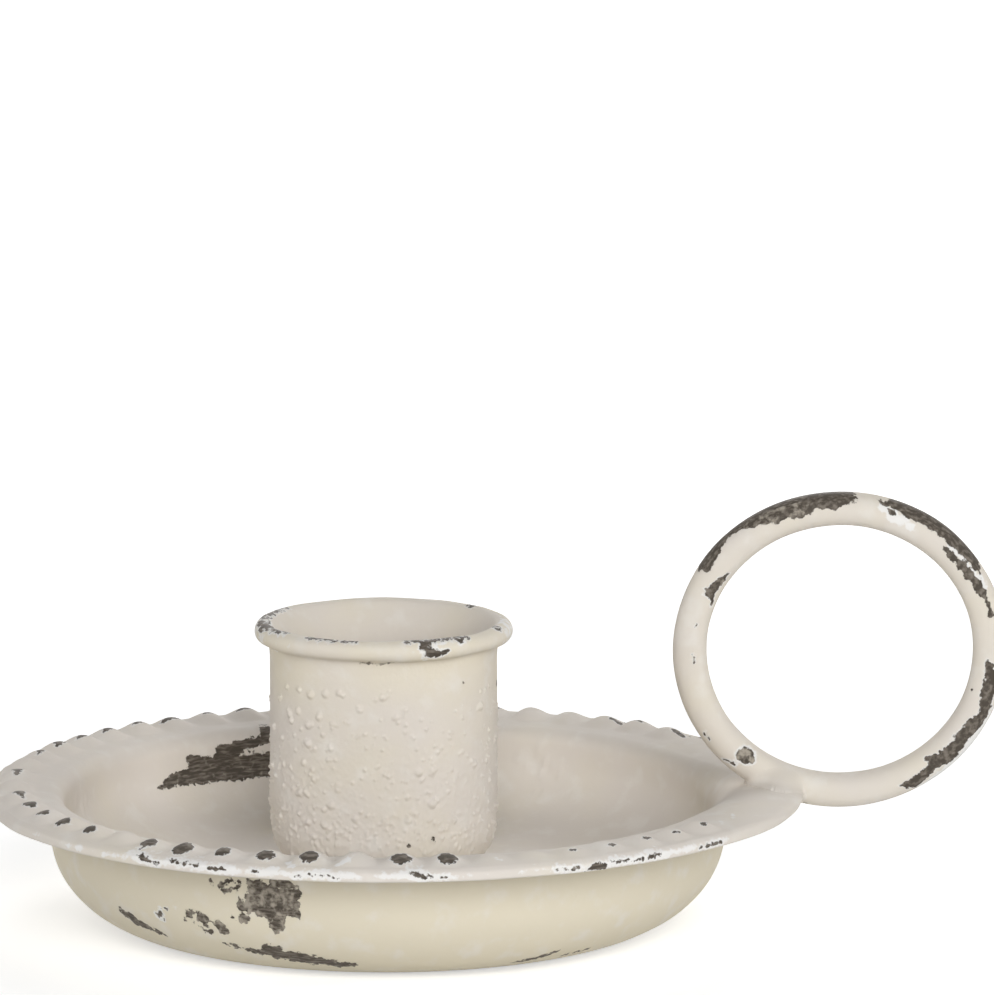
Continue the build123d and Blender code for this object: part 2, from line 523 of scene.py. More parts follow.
@dataclass(frozen=True)
class ChalkPaint:
    """Chalk-and-glue furniture paint brushed over a white primer on sand-cast iron.

    To the eye: dead matt, faintly mottled, with rounded paint edges a tenth of a millimetre high
    round the chips, white primer here and there beside them, and brownish dark iron inside, which
    is scratched the way it was wiped and holds a pale film in places.
    """

    name: str
    cream: str = "#E0D8C4"
    greige: str = "#DDD6CE"
    chalk: str = "#E6E2DB"
    primer: str = "#EEEDEB"
    iron: str = "#4A433B"
    iron_rubbed: str = "#7D756B"
    iron_film: str = "#A69E91"
    mottle_size: float = 11.0
    chalk_patch_size: float = 3.2
    grain_size: float = 0.9
    chalk_size: float = 0.24
    ragged_size: float = 0.5
    ragged_reach: float = 0.5
    scratch_size: float = 0.42
    scratch_stretch: tuple[float, float, float] = (0.3, 0.3, 1.5)
    film_size: float = 0.8
    primer_cover: float = 0.85
    step: float = 0.10
    grain_height: float = 0.03
    chalk_height: float = 0.006
    scratch_height: float = 0.03
    iron_edge: Pair = (-0.08, 0.08)
    primer_edge: Pair = (-0.2, 0.2)
    mottle_weight: float = 1.1
    cream_span: Pair = (0.35, 1.35)
    chalk_span: Pair = (0.5, 0.75)
    chalk_cover: float = 0.55
    rubbed_span: Pair = (0.4, 0.72)
    film_span: Pair = (0.8, 1.08)
    roughness: float = 0.85
    iron_roughness: float = 0.65
    iron_metallic: float = 0.1
    specular: float = 0.25

    def material(self) -> bpy.types.Material:
        """Builds the material.

        Reads the attributes iron and primer, in millimetres inside a bare place, film, how much
        pale film is left on the iron, and cream, from 0 for the greyer paint to 1 for the yellower.

        Returns:
            The material, named for the finish.
        """
        made = empty_material(self.name)
        tree = made.node_tree
        place = add_node(tree, "TexCoord", out="Object")
        iron, primer, film, cream = (
            add_node(tree, "Attribute", {"attribute_name": name}, out="Fac")
            for name in ("iron", "primer", "film", "cream"))
        wiped = add_node(tree, "VectorMath", MULTIPLY, {0: place, 1: self.scratch_stretch})
        ragged, mottle, patch, grain, chalk, scratch, left = (
            add_node(tree, "TexNoise", None, {"Vector": vector, "Scale": per_size(size), "Detail": detail})
            for vector, size, detail in (
                (place, self.ragged_size, 2.5), (place, self.mottle_size, 3.0),
                (place, self.chalk_patch_size, 4.0), (place, self.grain_size, 2.0),
                (place, self.chalk_size, 2.0), (wiped, self.scratch_size, 4.0),
                (place, self.film_size, 4.0)))
        ragged = add_node(tree, "MapRange", None, {
            0: ragged, "To Min": -self.ragged_reach, "To Max": self.ragged_reach})
        in_iron, in_primer, in_film = (
            add_node(tree, "Math", ADD, {0: value, 1: depth})
            for value, depth in ((ragged, iron), (ragged, primer), (left, film)))
        mottled = add_node(tree, "Math", MULTIPLY_ADD, {0: mottle, 1: self.mottle_weight, 2: cream})
        bare, primed, creamy, chalky, rubbed, filmed = (
            add_node(tree, "MapRange", SMOOTH, {0: value, 1: low, 2: high, 4: top})
            for value, (low, high), top in (
                (in_iron, self.iron_edge, 1.0), (in_primer, self.primer_edge, self.primer_cover),
                (mottled, self.cream_span, 1.0), (patch, self.chalk_span, self.chalk_cover),
                (scratch, self.rubbed_span, 1.0), (in_film, self.film_span, 1.0)))
        paint, metal = linear(self.greige), linear(self.iron)
        for share, over in ((creamy, self.cream), (chalky, self.chalk), (primed, self.primer)):
            paint = add_node(tree, "Mix", COLOURS, {0: share, 6: paint, 7: linear(over)}, out=2)
        for share, over in ((rubbed, self.iron_rubbed), (filmed, self.iron_film)):
            metal = add_node(tree, "Mix", COLOURS, {0: share, 6: metal, 7: linear(over)}, out=2)
        scratched = add_node(tree, "Math", MULTIPLY, {0: scratch, 1: bare})
        relief = 0.0
        for value, height in ((grain, self.grain_height), (chalk, self.chalk_height), (bare, -self.step),
                              (scratched, self.scratch_height)):
            relief = add_node(tree, "Math", MULTIPLY_ADD, {0: value, 1: height * MM, 2: relief})
        shader = add_node(tree, "BsdfPrincipled", None, {
            "Base Color": add_node(tree, "Mix", COLOURS, {0: bare, 6: paint, 7: metal}, out=2),
            "Roughness": add_node(tree, "MapRange", None, {
                0: bare, "To Min": self.roughness, "To Max": self.iron_roughness}),
            "Metallic": add_node(tree, "MapRange", None, {0: bare, "To Max": self.iron_metallic}),
            "Normal": add_node(tree, "Bump", None, {"Strength": 1.0, "Distance": 1.0, "Height": relief}),
            "Specular IOR Level": self.specular})
        add_node(tree, "OutputMaterial", None, {"Surface": shader})
        return made


@dataclass(frozen=True)
class ZincSteel:
    """Zinc-plated steel of a hardware-shop screw and washer: bluish grey, dulled and spangled."""

    name: str = "zinc_plated_steel"
    bright: str = "#B9BABB"
    dull: str = "#8C8D8C"
    spangle_size: float = 1.2
    scratch_size: float = 0.25
    scratch_height: float = 0.004
    detail: float = 3.0
    dull_roughness: float = 0.5
    bright_roughness: float = 0.3

    def material(self) -> bpy.types.Material:
        """Builds the material, with patches of bright and dull zinc and fine scratches."""
        made = empty_material(self.name)
        tree = made.node_tree
        place = add_node(tree, "TexCoord", out="Object")
        spangle, scratch = (
            add_node(tree, "TexNoise", None, {
                "Vector": place, "Scale": per_size(size), "Detail": self.detail})
            for size in (self.spangle_size, self.scratch_size))
        relief = add_node(tree, "Math", MULTIPLY, {0: scratch, 1: self.scratch_height * MM})
        shader = add_node(tree, "BsdfPrincipled", None, {
            "Base Color": add_node(tree, "Mix", COLOURS, {
                0: spangle, 6: linear(self.dull), 7: linear(self.bright)}, out=2),
            "Roughness": add_node(tree, "MapRange", None, {
                0: spangle, "To Min": self.dull_roughness, "To Max": self.bright_roughness}),
            "Metallic": 1.0,
            "Normal": add_node(tree, "Bump", None, {"Strength": 1.0, "Distance": 1.0, "Height": relief})})
        add_node(tree, "OutputMaterial", None, {"Surface": shader})
        return made


# The drip pan


@dataclass
class Beads:
    """The row of lumps cast on the pan's flange, left out beside the ring.

    Marks are the turns of a few numbered lumps, which the others lie evenly between. Softness is
    how full the lumps are cast at a few turns. Bare halves are the half widths of the bare iron on
    their tips, in the order of their numbers. Bare radius, length and thickness are each given
    first away from the camera and then towards it.
    """

    marks: tuple[tuple[int, float], ...] = (
        (0, 123.0), (5, 156.6), (12, 203.4), (18, 243.6), (21, 265.0), (23, 282.2), (24, 290.1),
        (27, 310.4), (30, 328.7), (36, 368.5), (43, 414.0))
    bare_halves: tuple[float, ...] = (
        0, 0, 0.5, 0, 0, 0, 0.7, 0.9, 0.6, 1.0, 0.7, 0.6, 0.75, 0.5, 1.0, 0.75, 0.8, 0.8,
        0.8, 0.7, 0, 1.0, 0, 1.05, 0.95, 0.75, 0.85, 0.7, 0, 0.9, 1.1, 0.85, 0.95, 1.0, 0, 1.1,
        1.05, 0, 0, 0.7, 0.9, 0.85, 0.7, 0.9)
    fullness: Pair = (0.86, 1.0)
    softness: tuple[Pair, ...] = (
        (123.0, 0.2), (131.0, 1.0), (366.0, 1.0), (374.0, 0.5), (388.0, 0.55), (398.0, 0.85))
    height: float = 1.15
    inner_radius: float = 42.6
    crest_radius: float = 45.3
    outer_radius: float = 47.9
    cross_power: float = 1.3
    row_end: Pair = (0.6, 0.3)
    valley_share: float = 0.32
    bare_radius: Pair = (45.2, 46.2)
    bare_length: Pair = (1.25, 0.6)
    bare_thickness: Pair = (0.72, 1.07)
    bare_bow: float = 0.1
    bare_ragged: float = 0.15
    bare_halo: float = 0.12
    front_span: Pair = (0.15, 0.6)
    thin_from: int = 39
    thin: float = 0.32
    seed: int = 11

    def count(self) -> int:
        """How many lumps there are."""
        return self.marks[-1][0] + 1

    def turn_of(self, number: Array | float) -> Array:
        """Gives the turn of a lump by its number."""
        numbers, turns = zip(*self.marks)
        return np.interp(number, numbers, turns)

    def number_at(self, turn: Array) -> Array:
        """Gives the lump number, with its fraction, at each turn. It is -1 where none are cast.

        Args:
            turn: Turns in degrees.

        Returns:
            Numbers of the shape of turn.
        """
        numbers, turns = zip(*self.marks)
        pitch = self.turn_of(1) - self.turn_of(0)
        turn = (turn - turns[0] + pitch / 2) % FULL_TURN + turns[0] - pitch / 2
        spread = (turns[0] - pitch / 2, *turns, turns[-1] + pitch / 2)
        return np.interp(turn, spread, (-0.5, *numbers, numbers[-1] + 0.5), right=-1)

    def size_of(self, number: Array) -> Array:
        """Gives how full each lump is cast: mostly near 1, softer at the front right and at first.

        Args:
            number: Lump numbers, with their fractions.

        Returns:
            Shares of the full height.
        """
        drawn = np.random.default_rng(self.seed).uniform(*self.fullness, self.count())
        soft = np.interp(self.turn_of(np.arange(self.count())), *zip(*self.softness))
        nearest = np.clip(np.round(number).astype(int), 0, self.count() - 1)
        return (drawn * soft)[nearest]

    def rise(self, turn: Array, radius: Array) -> Array:
        """Gives the height of the lumps over the flange.

        Along the row, the root of cos^2 plus a small square, brought back between 0 and 1, which
        has round tops and narrower valleys, and which fades out past the first and the last lump.
        Across it, 1 - d^2 to a power, with d the distance from the crest as a share of the way to
        the inner or the outer radius.

        Args:
            turn: Turns in degrees.
            radius: Distances from the pan's axis in millimetres.

        Returns:
            Heights in millimetres.
        """
        number = self.number_at(turn)
        cast = ease(np.maximum(-number, number - self.marks[-1][0]), *self.row_end)
        valley = self.valley_share
        row = np.sqrt(np.cos(np.pi * number) ** 2 + valley ** 2) - valley
        row /= math.hypot(1, valley) - valley
        way = np.where(radius < self.crest_radius, self.crest_radius - self.inner_radius,
                       self.outer_radius - self.crest_radius)
        across = np.clip(1 - ((radius - self.crest_radius) / way) ** 2, 0, 1) ** self.cross_power
        return self.height * cast * row * across * self.size_of(number)

    def losses(self) -> list[Loss]:
        """Lists the bare tips: round ones mostly, and slivers along the row on the last lumps."""
        found = []
        for number, half in enumerate(self.bare_halves):
            if not half:
                continue
            turn = float(self.turn_of(number))
            front = float(ease(np.array(math.cos(math.radians(turn))), *self.front_span))
            radius, length, thickness = (
                away + front * (towards - away)
                for away, towards in (self.bare_radius, self.bare_length, self.bare_thickness))
            thick = half * (self.thin if number >= self.thin_from else thickness)
            reach = math.degrees(length * half / self.crest_radius)
            found.append(Loss((
                (turn - reach, radius, thick / 2), (turn, radius + self.bare_bow, thick),
                (turn + reach, radius, thick / 2)), self.bare_ragged, self.bare_halo))
        return found


@dataclass(frozen=True)
class Scatter:
    """Random bare places: the draws' seed, how many, and the spans that each number is drawn from."""

    seed: int
    count: int
    turns: Pair
    heights: Pair
    lengths: Pair = (1.0, 7.0)
    halves: Pair = (0.1, 1.3)
    slopes: Pair = (-0.8, 0.4)
    halos: Pair = (-0.3, 0.25)
    films: Pair = (0.0, 0.45)
    ragged: float = 0.15
    ragged_by_half: float = 0.6

    def losses(self) -> list[Loss]:
        """Draws the places, some small, some long, some blotchy."""
        draw = np.random.default_rng(self.seed)
        found = []
        for _ in range(self.count):
            turn, height = draw.uniform(*self.turns), draw.uniform(*self.heights)
            length, half = draw.uniform(*self.lengths), draw.uniform(*self.halves) * draw.uniform(0.5, 1)
            end = (turn + length, height + draw.uniform(*self.slopes), half / 2)
            halo, film = draw.uniform(*self.halos), draw.uniform(*self.films)
            ragged = self.ragged + self.ragged_by_half * half
            found.append(Loss(((turn, height, half), end), ragged, halo, film))
        return found


@dataclass
class DripPan:
    """The shallow pan: recessed foot, flaring wall, beaded flange with a lug, and the well.

    Still pairs are a radius, a height or a turn from the ring's side where the casting is true,
    and one where it is fully uneven. Layers are fields of waves, each a height, a lump's size and
    a seed. The far places and those of the near well are on faces that the photograph doesn't show.
    """

    columns: int = 680
    foot_radius: float = 28.0
    foot_round: float = 0.5
    recess_radius: float = 25.2
    recess_depth: float = 3.4
    recess_round: float = 1.0
    hole_radius: float = 2.25
    hole_offset: float = 0.55
    hole_reach: float = 10.0
    wall_radius: float = 41.05
    wall_rise: float = 11.4
    throat_round: float = 1.0
    flange_under: float = 15.0
    flange_height: float = 16.35
    flange_radius: float = 48.9
    edge_round: float = 0.55
    edge_round_at_ring: float = 1.2
    camber: float = 0.4
    camber_radius: float = 45.2
    camber_reach: float = 4.3
    lip_round: float = 2.0
    lip_round_at_ring: float = 4.0
    well_radius: float = 39.35
    well_rise: float = 12.4
    well_floor_radius: float = 26.0
    floor_height: float = 5.0
    swell_shift: float = 6.5
    swell_radius: float = 44.0
    swell_blend: float = 0.4
    lip_turns: Pair = (6.0, 26.0)
    edge_turns: Pair = (13.0, 22.0)
    lug_centre: float = 44.0
    lug_radius: float = 7.6
    lug_fade: float = 4.0
    lug_depth: float = 1.5
    lug_low: float = 14.6
    lug_over: float = 0.6
    lug_within: float = 0.1
    edge_wander: float = 0.2
    edge_waves: Waves = (4.0, 3)
    wall_waves: Layers = ((0.04, 4.0, 5), (0.1, 16.0, 6))
    flange_waves: Layers = ((0.05, 2.2, 7),)
    still_foot: Pair = (27.0, 31.0)
    still_sole: Pair = (0.3, 2.0)
    still_rim: Pair = (48.8, 46.8)
    still_flange: Pair = (50.2, 48.2)
    still_ring: Pair = (14.0, 22.0)
    still_ring_height: Pair = (9.0, 12.0)
    crumb_clusters: tuple[tuple[float, float, int], ...] = (
        (149.5, 11.6, 16), (-104.0, 12.6, 12), (-80.0, 12.0, 6), (30.0, 11.0, 8))
    crumb_seed: int = 17
    grain: Waves = (1.1, 8)
    far_wall: Scatter = Scatter(31, 20, (112, 262), (2.0, 13.0))
    far_edge: Scatter = Scatter(32, 14, (116, 258), (15.5, 16.1))
    near_well: Scatter = Scatter(33, 5, (-60, 60), (7.0, 14.0))
    edge_inner_radius: float = 47.6
    lip_reach: float = 1.7
    band_half: float = 0.38
    band_height: float = 15.75
    band_inset: float = 0.35
    band_inward: float = 1.3
    band_spikes: Layers = ((0.3, 3.2, 14), (0.34, 1.5, 12), (0.25, 0.7, 13))
    band_fade: tuple[Pair, ...] = (
        (-66.0, 1.2), (-58.0, 0.4), (-46.0, 0.3), (-37.0, 0.05), (6.0, 0.05), (9.5, 0.5), (20.0, 0.45),
        (24.0, 0.1), (44.0, 0.15), (48.0, 0.5), (53.0, 0.45), (60.0, 1.2))
    outside_cream: float = 0.9
    beads: Beads = field(default_factory=Beads)

    def near_ring(self, turn: Array, full: float, none: float) -> Array:
        """Gives 1 within full degrees of the ring's side, falling to 0 at none degrees."""
        return 1 - ease(np.abs(wrap(turn - 90)), full, none)

    def rim_radius(self, turn: Array) -> Array:
        """Gives the flange's outer radius: a circle, smoothly joined to the swell's wider one.

        The swell's circle is met at s cos a + sqrt(r^2 - s^2 sin^2 a), with a the angle from
        the ring's side. What it stands out by, d, is rounded off to (d + sqrt(d^2 + b^2)) / 2.

        Args:
            turn: Turns in degrees.

        Returns:
            Radii in millimetres.
        """
        side = np.radians(turn - 90)
        swell = self.swell_shift * np.cos(side) + np.sqrt(
            self.swell_radius ** 2 - (self.swell_shift * np.sin(side)) ** 2)
        over = swell - self.flange_radius
        around = np.stack([np.cos(side), np.sin(side), 0 * side], -1) * self.flange_radius
        wander = self.edge_wander * dents(around, *self.edge_waves)
        return self.flange_radius + (over + np.sqrt(over * over + self.swell_blend ** 2)) / 2 - wander

    def lip(self, turn: Array) -> Array:
        """Gives the rounding of the well's lip, which is wider under the finger ring."""
        more = self.lip_round_at_ring - self.lip_round
        return self.lip_round + self.near_ring(turn, *self.lip_turns) * more

    def edge(self, turn: Array) -> Array:
        """Gives the rounding of the flange's upper edge, which is wider under the finger ring."""
        more = self.edge_round_at_ring - self.edge_round
        return self.edge_round + self.near_ring(turn, *self.edge_turns) * more

    def top(self, turn: Array, radius: Array) -> Array:
        """Gives the height of the flange's upper side: a parabola across it, and the beads.

        Args:
            turn: Turns in degrees.
            radius: Distances from the pan's axis in millimetres.

        Returns:
            Heights in millimetres.
        """
        across = (radius - self.camber_radius) / self.camber_reach
        crown = self.camber * np.clip(1 - across * across, 0, 1)
        return self.flange_height + crown + self.beads.rise(turn, radius)

    def profile(self, turn: Array) -> list[tuple[Zone, Array]]:
        """Gives the turned profile at each turn, from the screw hole's lower end round to its upper.

        Straight runs and quarter ellipses, whose corners may differ from turn to turn.

        Args:
            turn: Turns in degrees, (columns,).

        Returns:
            Pairs of a zone and its (rows, columns, 2) radii and heights.
        """
        rim, lip, edge = self.rim_radius(turn), self.lip(turn), self.edge(turn)
        lip_start = self.well_radius + lip
        lip_top = self.top(turn, lip_start)

        def at(radius: Array | float, height: Array | float) -> Array:
            """Puts a radius and a height side by side for every column."""
            return np.stack(np.broadcast_arrays(radius + 0 * turn, height + 0 * turn), -1)

        under, height, depth = self.flange_under, self.flange_height, self.recess_depth
        recess, foot, cove = self.recess_radius, self.foot_round, self.recess_round
        throat, wall, well = self.throat_round, self.wall_radius, self.well_radius
        low = edge / 2
        high = np.minimum(edge, height - under - low)
        outside = trace(at(self.hole_radius, depth), [
            (at(recess - cove, depth), 4, Bend.NONE),
            (at(recess, depth - cove), 3, Bend.LEVEL),
            (at(recess, foot), 2, Bend.NONE),
            (at(recess + foot, 0), 3, Bend.UPRIGHT),
            (at(self.foot_radius, 0), 2, Bend.NONE),
            (at(wall, self.wall_rise), 38, Bend.LEVEL),
            (at(wall, under - throat), 6, Bend.NONE),
            (at(wall + throat, under), 4, Bend.UPRIGHT),
            (at(rim - low, under), 5, Bend.NONE),
            (at(rim, under + low), 3, Bend.LEVEL),
            (at(rim, height - high), 2, Bend.NONE),
            (at(rim - edge, height), 4, Bend.UPRIGHT)])
        share = np.linspace(0, 1, 32, endpoint=False)[:, None]
        flat_radius = (rim - edge) * (1 - share) + lip_start * share
        flat = np.stack([flat_radius, self.top(turn[None] + 0 * share, flat_radius)], -1)
        inside = trace(at(lip_start, lip_top), [
            (at(well, lip_top - lip), 10, Bend.LEVEL),
            (at(well, self.well_rise), 3, Bend.NONE),
            (at(self.well_floor_radius, self.floor_height), 20, Bend.UPRIGHT),
            (at(self.hole_radius, self.floor_height), 8, Bend.NONE)])
        zones = [Zone.RECESS] * 5 + [Zone.WALL] * 3 + [Zone.EDGE] * 4 + [Zone.TOP] * 2 + [Zone.WELL] * 2
        return list(zip([*zones, Zone.FLOOR], [*outside, flat, *inside]))

    def well_crumbs(self) -> list[Crumb]:
        """Draws the small clusters of crumbs on the well's wall, to the right and left of the cup."""
        draw = np.random.default_rng(self.crumb_seed)
        found = []
        for middle, height, count in self.crumb_clusters:
            for _ in range(count):
                half = draw.uniform(0.32, 0.6)
                turn = middle + draw.normal(0, 3.2)
                found.append(Crumb(turn, height + draw.normal(0, 1.3), half, 0.5 * half))
        return found

    def surface(self) -> tuple[Array, Array, dict[Zone, Array]]:
        """Works out the pan's points.

        The profile is turned about the axis, the hole is moved to the cup's own axis, the lug
        is let down under the flange, and the casting's unevenness and its crumbs are added along
        the normals.

        Returns:
            The points (rows, columns, 3), the turn of each column, and for each zone which rows
            are in it.
        """
        turn = np.linspace(-180, 180, self.columns, endpoint=False)
        sections = self.profile(turn)
        zone_of = np.concatenate([np.full(len(part), zone.value) for zone, part in sections])
        flat = np.concatenate([part for _, part in sections])
        radius, height = flat[..., 0], flat[..., 1]
        angle = np.radians(turn)
        grid = np.stack([radius * np.sin(angle), -radius * np.cos(angle), height], -1)
        grid[..., 0] -= self.hole_offset * (1 - ease(radius, self.hole_radius, self.hole_reach))
        rows = {zone: zone_of == zone.value for zone in Zone}
        below = (height < self.flange_under + self.lug_over) & (radius > self.wall_radius - self.lug_within)
        reach = self.lug_radius - np.hypot(grid[..., 0] - self.lug_centre, grid[..., 1])
        drop = self.lug_depth * ease(reach, 0, self.lug_fade) * ease(height, self.wall_rise, self.lug_low)
        grid[..., 2] -= np.where(below, drop, 0)
        uneven = ripples(grid, self.wall_waves)
        uneven *= ease(radius, *self.still_foot) * ease(radius, *self.still_rim)
        uneven *= ease(height, *self.still_sole)
        flange = rows[Zone.TOP]
        uneven[flange] += ripples(grid[flange], self.flange_waves) * ease(radius[flange], *self.still_flange)
        uneven *= 1 - self.near_ring(turn, *self.still_ring) * ease(height, *self.still_ring_height)
        well = rows[Zone.WELL]
        uneven[well] += heap(self.well_crumbs(), turn, height[well].mean(1), self.well_radius)
        return grid + outward(grid, True) * uneven[..., None], turn, rows

    def wall_losses(self) -> list[Loss]:
        """Lists the bare places on the outer wall, by turns and heights."""
        return [
            Loss(((-30.9, 12.35, 0.22), (-30.2, 12.1, 0.15)), 0.15, film=0.3),
            Loss(((-29.0, 12.0, 0.2), (-27.0, 12.75, 0.2), (-25.1, 12.5, 0.3), (-25.4, 11.9, 0.22),
                  (-27.8, 11.3, 0.25), (-29.0, 11.8, 0.2)), 0.12, film=0.35),
            Patch(((-25.4, 7.9), (-25.8, 9.9), (-23.9, 12.4), (-20.6, 13.1), (-15.8, 12.7), (-14.7, 11.6),
                   (-15.1, 9.9), (-14.3, 8.75), (-17.3, 8.75), (-18.4, 6.75), (-19.9, 7.0), (-20.6, 8.2),
                   (-22.8, 9.0), (-25.1, 8.2)), 1.05, film=0.4),
            Loss(((-24.9, 9.4, 0.4), (-21.4, 9.8, 0.35), (-17.8, 9.6, 0.5), (-18.9, 7.6, 0.35)), 0.3),
            Loss(((-36.6, 7.0, 0.3), (-35.5, 7.7, 0.25), (-34.0, 8.4, 0.3)), 0.45, film=0.3),
            Loss(((-35.0, 7.0, 0.3), (-33.2, 7.4, 0.7), (-31.6, 7.0, 0.6),
                  (-29.8, 6.7, 0.75)), 0.6, film=0.36),
            Loss(((-34.0, 6.5, 0.25), (-31.5, 6.0, 0.35)), 0.4, film=0.3),
            Loss(((-42.0, 7.5, 0.35), (-43.0, 6.9, 0.3), (-41.9, 6.5, 0.2)), 0.35, 0.3, 0.3),
            Loss(((-40.6, 8.1, 0.16), (-39.9, 8.2, 0.1)), 0.1, 0.1),
            Loss(((-38.2, 8.5, 0.15),), 0.1, 0.1),
            Loss(((-27.0, 8.1, 0.22),), 0.1),
            Loss(((-52.6, 6.0, 0.6), (-50.6, 5.5, 0.72), (-47.6, 4.75, 0.45),
                  (-43.8, 4.2, 0.1)), 0.3, film=0.26),
            Patch(((-31.0, 4.5), (-27.0, 4.15), (-23.0, 4.05), (-22.2, 4.9), (-19.5, 4.8), (-19.0, 4.0),
                   (-14.5, 3.8), (-11.5, 3.2), (-9.5, 2.8), (-6.0, 2.75), (-6.0, 2.1), (-9.5, 1.85),
                   (-14.0, 2.1), (-19.0, 2.6), (-23.0, 3.15), (-27.0, 3.65), (-30.4, 4.0)), 0.25, film=0.26),
            Patch(((24.5, 1.7), (28.0, 2.3), (33.4, 3.05), (32.0, 2.4), (28.5, 1.7)), 0.12, film=0.2),
            Loss(((35.8, 1.8, 0.12), (41.6, 2.1, 0.14)), 0.12),
        ]

    def edge_losses(self) -> list[Loss]:
        """Lists the bare places on the flange's edge."""
        return [
            Patch(((-38.6, 16.25), (-36.0, 16.3), (-33.3, 15.8), (-33.6, 15.5), (-36.0, 15.75)), 0.2, 0.4),
            Loss(((-32.0, 16.1, 0.08), (-28.6, 16.05, 0.16), (-27.4, 16.0, 0.2)), 0.15, 0.35),
            Loss(((-25.6, 15.9, 0.1), (-23.8, 15.75, 0.2), (-23.0, 15.9, 0.1)), 0.12, 0.4),
            Loss(((-19.4, 15.9, 0.1), (-18.2, 15.9, 0.1)), 0.12, 0.3),
            Loss(((-12.9, 15.6, 0.12), (-10.9, 15.9, 0.1), (-8.4, 15.8, 0.1),
                  (-6.9, 15.5, 0.12)), 0.15, 0.45, 0.35),
            Patch(((2.6, 16.3), (4.4, 16.2), (6.2, 15.7), (5.6, 15.5), (3.4, 15.8)), 0.15, 0.4),
            Loss(((6.8, 15.6, 0.12), (8.0, 15.65, 0.14)), 0.12, 0.35, 0.3),
            Loss(((23.7, 15.7, 0.14), (26.1, 15.5, 0.14), (27.4, 15.8, 0.06)), 0.12, 0.35, 0.4),
            Patch(((28.2, 15.15), (29.0, 15.85), (31.4, 15.9), (31.6, 15.1)), 0.12, 0.2),
            Loss(((32.4, 15.85, 0.12), (34.6, 15.7, 0.14), (37.6, 15.65, 0.12),
                  (40.7, 15.75, 0.28)), 0.14, 0.4),
            Loss(((48.6, 15.6, 0.12), (50.6, 15.55, 0.1), (53.4, 15.65, 0.2)), 0.14, 0.25),
        ]

    def flange_losses(self) -> list[Loss]:
        """Lists the primer showing on the flange, by turns and radii, and a few bare marks."""
        return [
            Loss(((141.6, 45.6, 0.5), (139.6, 45.9, 0.35)), 0.15, 0.15),
            Loss(((128.4, 45.6, 0.45), (126.6, 46.0, 0.3)), 0.15, 0.15),
            Loss(((-36.6, 46.4, 0.3), (-38.0, 47.6, 0.25), (-37.0, 48.8, 0.5)), 0.15, bared=Bared.PRIMER),
            Loss(((-36.9, 46.9, 0.12), (-38.0, 47.9, 0.1), (-37.4, 48.6, 0.2)), 0.08, 0.25, 0.3),
            Loss(((-14.4, 46.8, 0.35), (-13.4, 48.4, 0.35)), 0.3, bared=Bared.PRIMER),
            Loss(((-7.6, 47.4, 0.2), (-5.6, 46.6, 0.35)), 0.3, bared=Bared.PRIMER),
            Loss(((15.6, 46.5, 0.22), (16.2, 46.9, 0.15)), 0.1, bared=Bared.PRIMER),
            Loss(((66.0, 45.0, 0.15), (63.0, 46.2, 0.1)), 0.1, bared=Bared.PRIMER),
            Loss(((60.5, 45.4, 0.12), (58.5, 46.6, 0.1)), 0.1, bared=Bared.PRIMER),
        ]

    def well_losses(self) -> list[Loss]:
        """Lists the bare streak behind the cup, wiped along the well's wall in two steps."""
        return [
            Patch(((227.6, 10.5), (218.5, 10.4), (209.8, 10.05), (202.3, 10.3), (194.0, 10.5), (195.0, 13.0),
                   (202.0, 13.2), (207.3, 13.0), (209.0, 13.5), (213.2, 13.35), (220.3, 14.0), (219.0, 12.7),
                   (220.0, 12.3), (224.0, 12.0)), 0.09, film=0.22),
            Patch(((213.2, 14.8), (213.3, 13.0), (209.0, 13.3), (207.0, 13.75), (201.0, 14.5), (196.0, 15.0),
                   (197.0, 16.2), (203.8, 16.3), (203.9, 15.2), (209.2, 15.15),
                   (210.2, 14.7)), 0.09, film=0.15),
        ]

    def edge_primer(self, turn: Array, radius: Array, height: Array, grid: Array) -> Array:
        """Gives how deep each point lies in the white band that rubbing has left on the rim.

        The band's half width less the way from the edge's middle height and from the rim, with
        fields of waves that draw it out in spikes. How much less there is by the turn is
        interpolated from a few pairs.

        Args:
            turn: Turn of each point.
            radius: Distance of each point from the axis.
            height: Its height.
            grid: The points.

        Returns:
            Depths in millimetres.
        """
        inward = np.clip(self.rim_radius(turn) - self.band_inset - radius, 0, None)
        upward = np.abs(np.minimum(height, self.flange_height) - self.band_height)
        fade = np.interp(wrap(turn), *zip(*self.band_fade))
        return self.band_half - upward - self.band_inward * inward + ripples(grid, self.band_spikes) - fade

